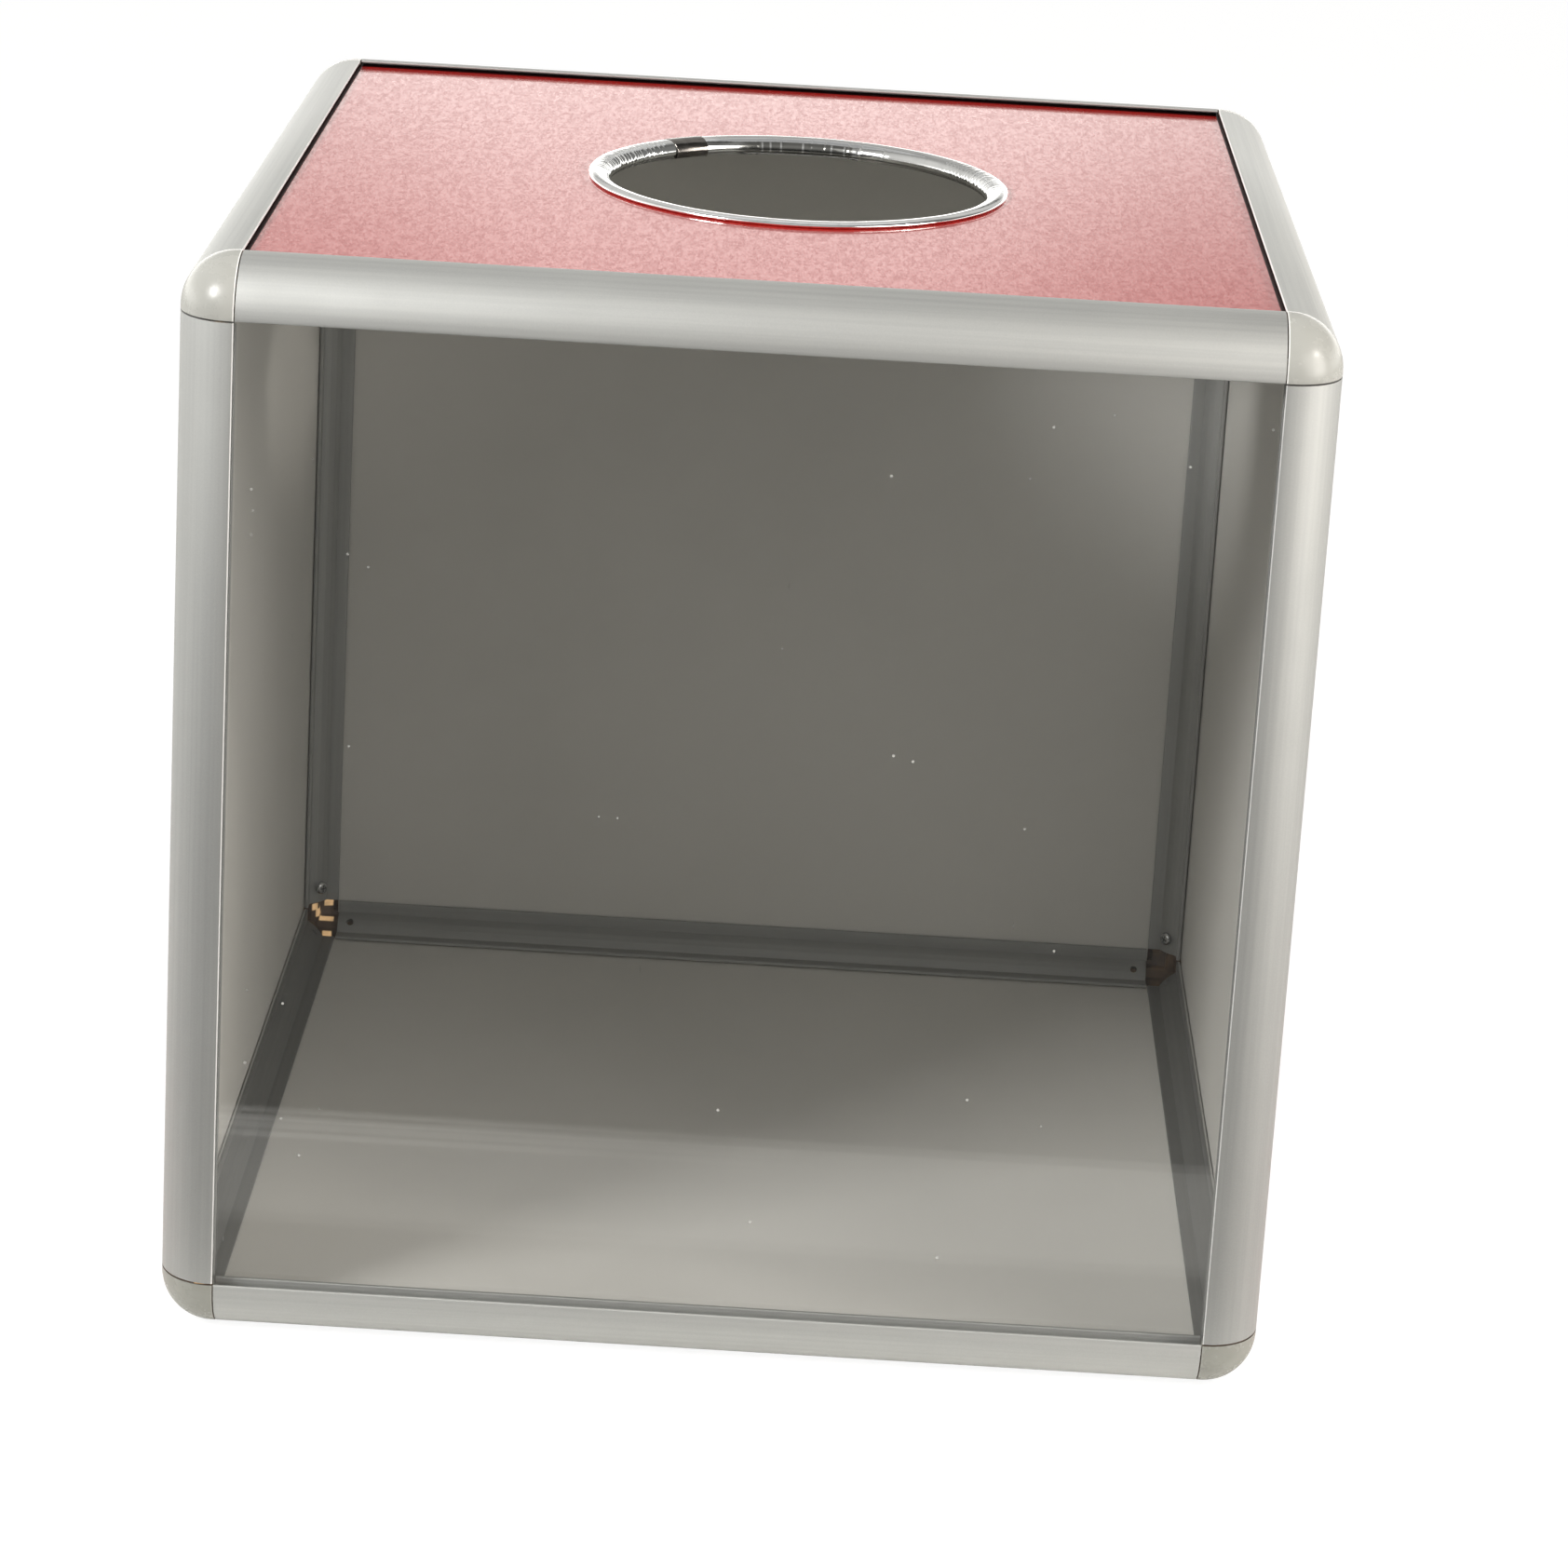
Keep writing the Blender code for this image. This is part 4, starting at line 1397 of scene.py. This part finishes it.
@dataclass
class Sheets(SubAssembly):
    """Five composite sheets, red outside and grey inside, and the clear front."""

    notch: float = 4.1 * MM
    hole_radius: float = 51.3 * MM
    hole_steps: int = 160

    def build(self) -> None:
        """Model the sheets from their nodes' boxes."""
        coats = (RedCoat().make(), GreyCoat().make(), SheetCore().make())
        for axis, sign, node in (
            (Axis.Z, 1, "top_panel"),
            (Axis.Z, -1, "floor_panel"),
            (Axis.Y, 1, "rear_panel"),
            (Axis.X, -1, "left_panel"),
            (Axis.X, 1, "right_panel"),
        ):
            piece = self.model(f"coated_{node}", axis, node)
            if node == "top_panel":
                self.cut_hole(piece)
            self.sort_faces(piece, axis, sign)
            self.hand_over(piece, node, Slot.SHEET, *coats)
        piece = self.model("clear_front_panel", Axis.Y, "front_panel")
        Bench.smooth(piece)
        self.hand_over(piece, "front_panel", Slot.FRONT, ClearAcrylic().make())

    def model(self, name: str, axis: Axis, node: str) -> bpy.types.Object:
        """Flat sheet with notched corners in its node's box.

        Args:
            name: Name of the piece.
            axis: Direction square to the sheet.
            node: Node whose box it fills.

        Returns:
            The sheet.
        """
        low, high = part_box(node)
        sheet = Bench.block(name, low, high)
        flat = [other.value for other in Axis if other is not axis]
        overrun = Vector((OVERRUN,) * 3)
        for signs in itertools.product((-1, 1), repeat=2):
            cut_low, cut_high = low - overrun, high + overrun
            for number, sign in zip(flat, signs):
                if sign < 0:
                    cut_high[number] = low[number] + self.notch
                else:
                    cut_low[number] = high[number] - self.notch
            Bench.combine(sheet, Bench.block("notch", cut_low, cut_high), "DIFFERENCE")
        return Bench.outward(sheet)

    def cut_hole(self, sheet: bpy.types.Object) -> None:
        """Cut the round hand hole under its edging."""
        low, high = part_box("hole_edging")
        middle = (low + high) / 2
        bottom, top = low.z - OVERRUN, high.z + OVERRUN
        tool = Bench.drum("hole", self.hole_radius, bottom, top, self.hole_steps, middle.xy)
        Bench.combine(sheet, tool, "DIFFERENCE")

    @staticmethod
    def sort_faces(sheet: bpy.types.Object, axis: Axis, sign: int) -> None:
        """Number the faces: 0 the outer coat, 1 the inner coat, 2 the cut edges."""
        for face in sheet.data.polygons:
            facing = face.normal[axis.value] * sign
            face.material_index = 0 if facing > FACING else 1 if facing < -FACING else 2


@dataclass(frozen=True)
class CreaseRun:
    """Stretch of the edging with creases: bearings in radians, and a share of the full depth."""

    centre: float
    spread: float
    pitch: float
    depth_share: float
    widths: Span = (0.7, 1.5)
    depths: Span = (0.5, 1.1)
    pitches: Span = (0.6, 1.4)

    def creases(self, draw: random.Random, width: float, depth: float) -> Iterator[Crease]:
        """Bearing, width and depth of each crease, less deep towards both ends.

        Args:
            draw: Source of the random shares.
            width: Usual width of a crease.
            depth: Full depth of a crease.

        Returns:
            The creases in order of bearing.
        """
        bearing = self.centre - self.spread
        while bearing < self.centre + self.spread:
            fade = math.sqrt(max(0.0, math.cos((bearing - self.centre) / self.spread * QUARTER)))
            own_width = width * draw.uniform(*self.widths)
            yield bearing, own_width, depth * self.depth_share * fade * draw.uniform(*self.depths)
            bearing += self.pitch * draw.uniform(*self.pitches)


@dataclass
class HoleEdging(SubAssembly):
    """Edging strip bent round the hand hole, with creases, and the sleeve over its joint."""

    inner_radius: float = 49.8 * MM
    rim_radius: float = 55.7 * MM
    half_height: float = 1.75 * MM
    crest_height: float = 3.05 * MM
    bulge_share: float = 0.40
    seat: float = 1.53 * MM
    wall: float = 0.40 * MM
    crest_share: float = 0.62
    dome_steps: int = 10
    ring_steps: int = 1440
    sleeve_bearing: float = math.radians(127)
    sleeve_length: float = 11.4 * MM
    sleeve_growth: float = 0.50 * MM
    sleeve_wall_share: float = 0.8
    sleeve_crest_height: float = 3.18 * MM
    sleeve_steps: int = 36
    sleeve_rim_growth: float = 0.5 * MM
    sleeve_softening: float = 0.10 * MM
    sleeve_rim_steps: int = 2
    knob_radius: float = 0.55 * MM
    knob_thickness_share: float = 0.42
    knob_bearing: float = 0.022
    knob_inset: float = 0.4 * MM
    crease_width: float = 0.34 * MM
    crease_depth: float = 0.38 * MM
    crease_runs: tuple[CreaseRun, ...] = (
        CreaseRun(2.80, 0.45, 0.034, 1.0),
        CreaseRun(0.30, 0.40, 0.036, 0.9),
        CreaseRun(1.45, 0.42, 0.11, 0.5),
    )
    crease_spread_share: float = 0.35
    crease_reach: float = 3.0
    crease_fade: float = 1.1
    wanders: tuple[tuple[float, float, float], ...] = ((0.05 * MM, 9.0, 1.0), (0.04 * MM, 23.0, 0.0))
    smooth_angle: float = 50.0
    seed: int = 11
    middle: Vector = field(default_factory=Vector, init=False)

    def build(self) -> None:
        """Model the ring and the sleeve about the middle of the hole."""
        low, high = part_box("hole_edging")
        self.middle = (low + high) / 2
        outline = self.outline(
            self.inner_radius, self.rim_radius, self.crest_height, self.half_height, self.wall
        )
        ring = self.channel("creased_hole_edging", outline, 0.0, WHOLE_TURN, self.ring_steps)
        self.crease(ring)
        Bench.smooth(ring, self.smooth_angle)
        self.hand_over(ring, "hole_edging", Slot.EDGING, BrightFoil(self.middle).make())
        grow = self.sleeve_growth
        inner, outer = self.inner_radius - grow, self.rim_radius + self.sleeve_rim_growth
        sweep = self.sleeve_length / outer
        start = self.sleeve_bearing - sweep / 2
        outline = self.outline(
            inner, outer, self.sleeve_crest_height, self.half_height + grow, grow * self.sleeve_wall_share
        )
        sleeve = self.channel("folded_edging_sleeve", outline, start, sweep, self.sleeve_steps)
        self.soften_ends(sleeve, sweep)
        self.add_knob(sleeve, sweep)
        Bench.smooth(sleeve, self.smooth_angle)
        self.hand_over(sleeve, "edging_sleeve", Slot.SLEEVE, DarkSteel().make())

    def outline(self, inner: float, outer: float, high: float, low: float, wall: float) -> list[Point]:
        """Domed channel section in (radius, height), open away from the hole.

        Args:
            inner: Radius of the face in the hole.
            outer: Radius of the rims.
            high: Height of the upper dome over the sheet's middle.
            low: Depth of the lower dome under it.
            wall: Thickness at the inner face.

        Returns:
            The closed outline's points in order.
        """
        crest = inner + (outer - inner) * self.crest_share
        seat = self.seat
        shares = [step / self.dome_steps for step in range(self.dome_steps + 1)]
        start = -math.asin(self.bulge_share / (1.0 - self.bulge_share))

        def dome(half: float) -> list[Point]:
            """Half section from the rim out over the bulge and the crest to the inner face."""
            bulge = seat + (half - seat) * self.bulge_share
            width, rise = outer - crest, half - bulge
            turns = [start + (QUARTER - start) * share for share in shares]
            points = [(crest + width * math.cos(turn), bulge + rise * math.sin(turn)) for turn in turns]
            width = crest - inner
            turns = [QUARTER * share for share in shares[1:]]
            return points + [(crest - width * math.sin(turn), half * math.cos(turn)) for turn in turns]

        def mirrored(points: Sequence[Point]) -> list[Point]:
            """The same points under the sheet's middle, in the other order."""
            return [(radius, -height) for radius, height in reversed(points)]

        hollow = [(inner + wall, 0.0), (inner + wall * 1.2, seat * 0.6), (inner + wall * 1.7, seat)]
        return dome(high) + mirrored(dome(low)[:-1]) + mirrored(hollow) + hollow[1:]

    def channel(
        self, name: str, outline: Sequence[Point], start: float, sweep: float, steps: int
    ) -> bpy.types.Object:
        """Draw a channel section and spin it about the hole's axis.

        Args:
            name: Name of the piece.
            outline: Closed section in (radius, height).
            start: Bearing where the spin starts.
            sweep: Angle that it covers.
            steps: Steps of the spin.

        Returns:
            The closed piece.
        """
        turn = Matrix.Rotation(start, 3, "Z")
        points = [turn @ Vector((radius, 0.0, height)) + self.middle for radius, height in outline]
        item = Bench.pen(name, points[0])
        Bench.draw(points[1:], points[0])
        Bench.close()
        if sweep == WHOLE_TURN:
            bpy.ops.mesh.delete(type="ONLY_FACE")
            bpy.ops.mesh.select_mode(type="EDGE")
            bpy.ops.mesh.select_all(action="SELECT")
        bpy.ops.mesh.spin(steps=steps, angle=-sweep, center=self.middle, axis=(0.0, 0.0, 1.0))
        return Bench.outward(item)

    def creases(self) -> list[Crease]:
        """Bearing, width and depth of each crease: dense at both ends, sparse at the rear."""
        draw = random.Random(self.seed)
        size = self.crease_width, self.crease_depth
        return [crease for run in self.crease_runs for crease in run.creases(draw, *size)]

    def crease(self, ring: bpy.types.Object) -> None:
        """Press the creases into the top flange and the web, and let the strip wander a little."""
        creases = self.creases()
        found: dict[int, float] = {}
        for vert in ring.data.vertices:
            place = vert.co - self.middle
            bearing = math.atan2(place.y, place.x)
            radius = math.hypot(place.x, place.y)
            step = round(bearing / WHOLE_TURN * self.ring_steps)
            if step not in found:
                found[step] = self.press(bearing, creases)
            share = (radius - self.inner_radius) / (self.rim_radius - self.inner_radius)
            press = found[step] * max(0.0, 1.0 - share * self.crease_fade)
            wander = sum(size * math.sin(bearing * waves + shift) for size, waves, shift in self.wanders)
            if place.z > 0:
                vert.co.z -= press
            outward = Vector((place.x, place.y, 0.0)).normalized()
            vert.co += outward * (press * self.crease_spread_share + wander)

    def press(self, bearing: float, creases: Sequence[Crease]) -> float:
        """Depth of the creases at one bearing."""
        depths = [0.0]
        for centre, width, depth in creases:
            gap = (bearing - centre + math.pi) % WHOLE_TURN - math.pi
            along = gap * self.inner_radius / width
            if abs(along) < self.crease_reach:
                depths.append(depth * math.exp(-along * along))
        return max(depths)

    def soften_ends(self, sleeve: bpy.types.Object, sweep: float) -> None:
        """Round the rims of the sleeve's two ends."""

        def is_rim(one: Vector, two: Vector) -> bool:
            """True for an edge of an end face."""
            for sign in (-1, 1):
                bearing = self.sleeve_bearing + sign * sweep / 2
                across = Vector((-math.sin(bearing), math.cos(bearing), 0.0))
                if all(abs((point - self.middle).dot(across)) < WELD for point in (one, two)):
                    return True
            return False

        Bench.round_edges(sleeve, is_rim, self.sleeve_softening, self.sleeve_rim_steps)

    def add_knob(self, sleeve: bpy.types.Object, sweep: float) -> None:
        """Add the curled tab at the sleeve's left end, a short roll on the ring's outer slope."""
        bearing = self.sleeve_bearing + sweep / 2 + self.knob_bearing
        radius, height = self.rim_radius - self.knob_inset, self.seat + self.knob_radius
        place = self.middle + Vector((math.cos(bearing) * radius, math.sin(bearing) * radius, height))
        bpy.ops.object.select_all(action="DESELECT")
        bpy.ops.mesh.primitive_torus_add(
            major_radius=self.knob_radius,
            minor_radius=self.knob_radius * self.knob_thickness_share,
            major_segments=28,
            minor_segments=12,
            location=place,
            rotation=(QUARTER, 0.0, bearing + QUARTER),
        )
        Bench.combine(sleeve, Bench.named("knob"), "UNION")


# Studio


@dataclass(frozen=True)
class PhotoCamera:
    """Camera at the photograph's viewing angle, shifted as the photograph was cropped."""

    place: Point = (0.01772, -1.21115, 0.53389)
    heading: float = math.radians(0.515)
    drop: float = math.radians(16.117)
    roll: float = math.radians(3.264)
    lens_mm: float = 106.543
    sensor_mm: float = 36.0
    lift_share: float = -0.1675

    def make(self) -> None:
        """Add the camera and look through it."""
        data = bpy.data.cameras.new("camera")
        data.lens = self.lens_mm
        data.sensor_width = self.sensor_mm
        data.shift_y = self.lift_share
        camera = bpy.data.objects.new("camera", data)
        bpy.context.scene.collection.objects.link(camera)
        turn = (
            Matrix.Rotation(self.heading, 4, "Z")
            @ Matrix.Rotation(QUARTER - self.drop, 4, "X")
            @ Matrix.Rotation(self.roll, 4, "Z")
        )
        camera.matrix_world = Matrix.Translation(self.place) @ turn
        bpy.context.scene.camera = camera


@dataclass(frozen=True)
class SoftBox:
    """Square soft light, placed by its bearing right of the front and its height angle."""

    name: str
    bearing: float
    elevation: float
    distance: float
    size: float
    power: float
    colour: Colour = (1.0, 1.0, 1.0)
    aim: Point = (0.0, 0.0, 0.14)

    def make(self) -> None:
        """Add the light, turned to the box."""
        data = bpy.data.lights.new(self.name, "AREA")
        data.shape = "SQUARE"
        data.size = self.size
        data.energy = self.power
        data.color = self.colour
        lamp = bpy.data.objects.new(self.name, data)
        bpy.context.scene.collection.objects.link(lamp)
        side, height = math.radians(self.bearing), math.radians(self.elevation)
        away = Matrix.Rotation(side, 3, "Z") @ Vector((0.0, -math.cos(height), math.sin(height)))
        lamp.location = Vector(self.aim) + away * self.distance
        lamp.rotation_euler = away.to_track_quat("Z", "Y").to_euler()


@dataclass(frozen=True)
class GlowPatch:
    """Soft round patch of brightness in the surroundings."""

    direction: Point
    spread: float
    level: float
    core_share: float = 0.5
    rim_share: float = 1.7

    def light(self, tree: bpy.types.NodeTree, view: Value) -> Value:
        """Brightness of the patch along a view direction."""
        node = tree.nodes.new("ShaderNodeVectorMath")
        node.operation = "DOT_PRODUCT"
        node.inputs[1].default_value = Vector(self.direction).normalized()
        Value.plug(tree, view, node.inputs[0])
        toward = Value(tree, node.outputs["Value"])
        rim, core = math.cos(self.spread * self.rim_share), math.cos(self.spread * self.core_share)
        return toward.rise(rim, core) * self.level


@dataclass(frozen=True)
class HorizonGlow:
    """Bright backdrop behind the box, which fades with height."""

    level: float
    full_below: float = math.radians(5)
    dark_above: float = math.radians(18.5)
    front_end: float = -0.35
    back_start: float = 0.25

    def light(self, tree: bpy.types.NodeTree, view: Value) -> Value:
        """Brightness of the backdrop along a view direction."""
        split = tree.nodes.new("ShaderNodeSeparateXYZ")
        Value.plug(tree, view, split.inputs[0])
        back, up = Value(tree, split.outputs[1]), Value(tree, split.outputs[2])
        fade = up.rise(math.sin(self.dark_above), math.sin(self.full_below))
        return fade * back.rise(self.front_end, self.back_start) * self.level


@dataclass(frozen=True)
class TableTop:
    """Pale table that ends in front of the box, with a dark room beyond it."""

    size: float = 8.0
    thickness: float = 0.02
    painted_light_strip: float = -0.158
    painted_shadow_end: float = -0.207
    sheet_start: float = -0.2645
    sheet_end: float = -0.2755
    line_width: float = 0.0030
    line_core_share: float = 0.3
    edge: float = 0.0007
    painted_shadow_fade: float = 0.0020
    left_start: float = 0.06
    left_full: float = -0.10
    table_tone: float = 0.17
    past_shadow_gain: float = 0.27
    sheet_tone: float = -0.05
    line_tone: float = 0.45
    painted_light_strip_tone: float = 0.70
    camera_tone: float = 0.86
    dark: Colour = (0.03, 0.03, 0.03)
    pale: Colour = (1.0, 0.995, 0.98)
    roughness: float = 0.7
    camera_white: float = 1.12
    camera_share: float = 0.80

    def make(self) -> None:
        """Add the floor slab. The camera sees it white, and reflections see the table's tones, with a painted
        shadow of the box and a painted bright strip at its foot.
        """
        half = self.size / 2
        slab = Bench.block("floor", (-half, -half, -self.thickness), (half, half, 0.0))
        slab.data.transform(Matrix.Translation((0.0, 0.0, CAD_BOX[0].z)))
        graph = Graph("pale_floor")
        camera = graph.value(graph.node("ShaderNodeLightPath", {}, {}), "Is Camera Ray")
        across, depth, _ = graph.parts(graph.place())
        table = depth.step(self.sheet_end, self.edge)
        # The table is lifted past the painted shadow of the box; nearer the box it keeps the darker table
        # tone.
        haze = depth.drop(self.painted_shadow_end, self.painted_shadow_fade) * self.past_shadow_gain
        sheet = depth.drop(self.sheet_start, self.edge) * self.sheet_tone
        lines = self.line(depth, self.sheet_start).most(self.line(depth, self.sheet_end))
        lines = lines * across.rise(self.left_start, self.left_full)
        # Painted light: a bright strip on the table at the box's foot.
        painted_light_strip = depth.step(self.painted_light_strip, self.edge)
        level = table * (self.table_tone + haze + sheet) + lines * self.line_tone + painted_light_strip * self.painted_light_strip_tone
        tone = (camera * (self.camera_tone - level) + level).least(1.0)
        graph.dress(Base_Color=graph.blend(tone, self.dark, self.pale), Roughness=self.roughness)
        glow = {"Color": (1.0, 1.0, 1.0), "Strength": self.camera_white}
        white = graph.node("ShaderNodeEmission", {}, glow)
        share = camera * self.camera_share
        mixed = graph.node(
            "ShaderNodeMixShader", {}, {0: share, 1: graph.value(graph.shader), 2: graph.value(white)}
        )
        graph.tree.links.new(mixed.outputs[0], graph.output.inputs["Surface"])
        slab.data.materials.append(graph.material)

    def line(self, depth: Value, place: float) -> Value:
        """Narrow bright line across the table at one depth."""
        return abs(depth - place).rise(self.line_width, self.line_width * self.line_core_share)


@dataclass
class Studio:
    """Table, soft surroundings and soft boxes."""

    room_colour: Colour = (1.0, 0.985, 0.95)
    boxes: tuple[SoftBox, ...] = (
        SoftBox("left_soft_box", -50.0, 32.0, 1.7, 0.42, 16.5, (1.0, 0.99, 0.97)),
        SoftBox("left_wide_box", -43.0, 32.0, 1.7, 0.90, 3.0, (1.0, 0.99, 0.97)),
        SoftBox("right_soft_box", 65.0, 31.0, 1.7, 0.17, 4.8, (1.0, 0.95, 0.88)),
        SoftBox("right_wide_box", 56.0, 17.0, 1.7, 1.20, 15.0, (1.0, 0.96, 0.91)),
        SoftBox("right_low_box", 65.0, 10.0, 1.7, 0.80, 8.5, (1.0, 0.96, 0.91)),
        SoftBox("top_soft_box", 180.0, 75.0, 1.6, 1.20, 2.4),
    )
    glows: tuple[object, ...] = (
        HorizonGlow(2.04),
        GlowPatch((0.0, 1.0, 0.40), 0.50, 0.60),
        GlowPatch((0.13, 1.0, 0.265), 0.070, -0.60),
        GlowPatch((-0.16, 1.0, 0.26), 0.060, -0.40),
        GlowPatch((0.0, -0.75, 0.80), 0.50, 0.44),
        GlowPatch((0.0, -1.0, 0.15), 0.50, 0.245),
        GlowPatch((-1.0, 0.10, 0.35), 0.60, 1.00),
        GlowPatch((1.0, 0.10, 0.35), 0.60, 0.18),
    )

    def build(self) -> None:
        """Add table, world and lights."""
        TableTop().make()
        self.world()
        for box in self.boxes:
            box.make()
        bpy.context.scene.view_settings.view_transform = "Standard"

    def world(self) -> None:
        """Surroundings made of glow patches, and white where the camera looks past the box."""
        world = bpy.data.worlds.new("studio")
        bpy.context.scene.world = world
        world.use_nodes = True
        tree = world.node_tree
        tree.nodes.clear()
        output = tree.nodes.new("ShaderNodeOutputWorld")
        background = tree.nodes.new("ShaderNodeBackground")
        tree.links.new(background.outputs[0], output.inputs[0])
        camera = Value(tree, tree.nodes.new("ShaderNodeLightPath").outputs["Is Camera Ray"])
        view = Value(tree, tree.nodes.new("ShaderNodeTexCoord").outputs["Generated"])
        level = camera * 0.0
        for glow in self.glows:
            level = level + glow.light(tree, view)
        Value.plug(tree, level * (1.0 - camera) + camera, background.inputs["Strength"])
        tint = tree.nodes.new("ShaderNodeMix")
        tint.data_type = "RGBA"
        for number, source in ((0, camera), (6, self.room_colour), (7, (1.0, 1.0, 1.0))):
            Value.plug(tree, source, tint.inputs[number])
        tree.links.new(tint.outputs[2], background.inputs["Color"])


def main() -> None:
    """Build the camera, the sub-assemblies and the studio."""
    logging.basicConfig(level=logging.INFO, format="%(message)s")
    PhotoCamera().make()
    shell = BoxShell()
    for assembly in (Rails(shell), Corners(shell), Screws(shell), Sheets(shell), HoleEdging(shell)):
        assembly.build()
        LOG.info("%s: %d pieces", type(assembly).__name__, assembly.count)
    Studio().build()


if __name__ == "__main__":
    main()
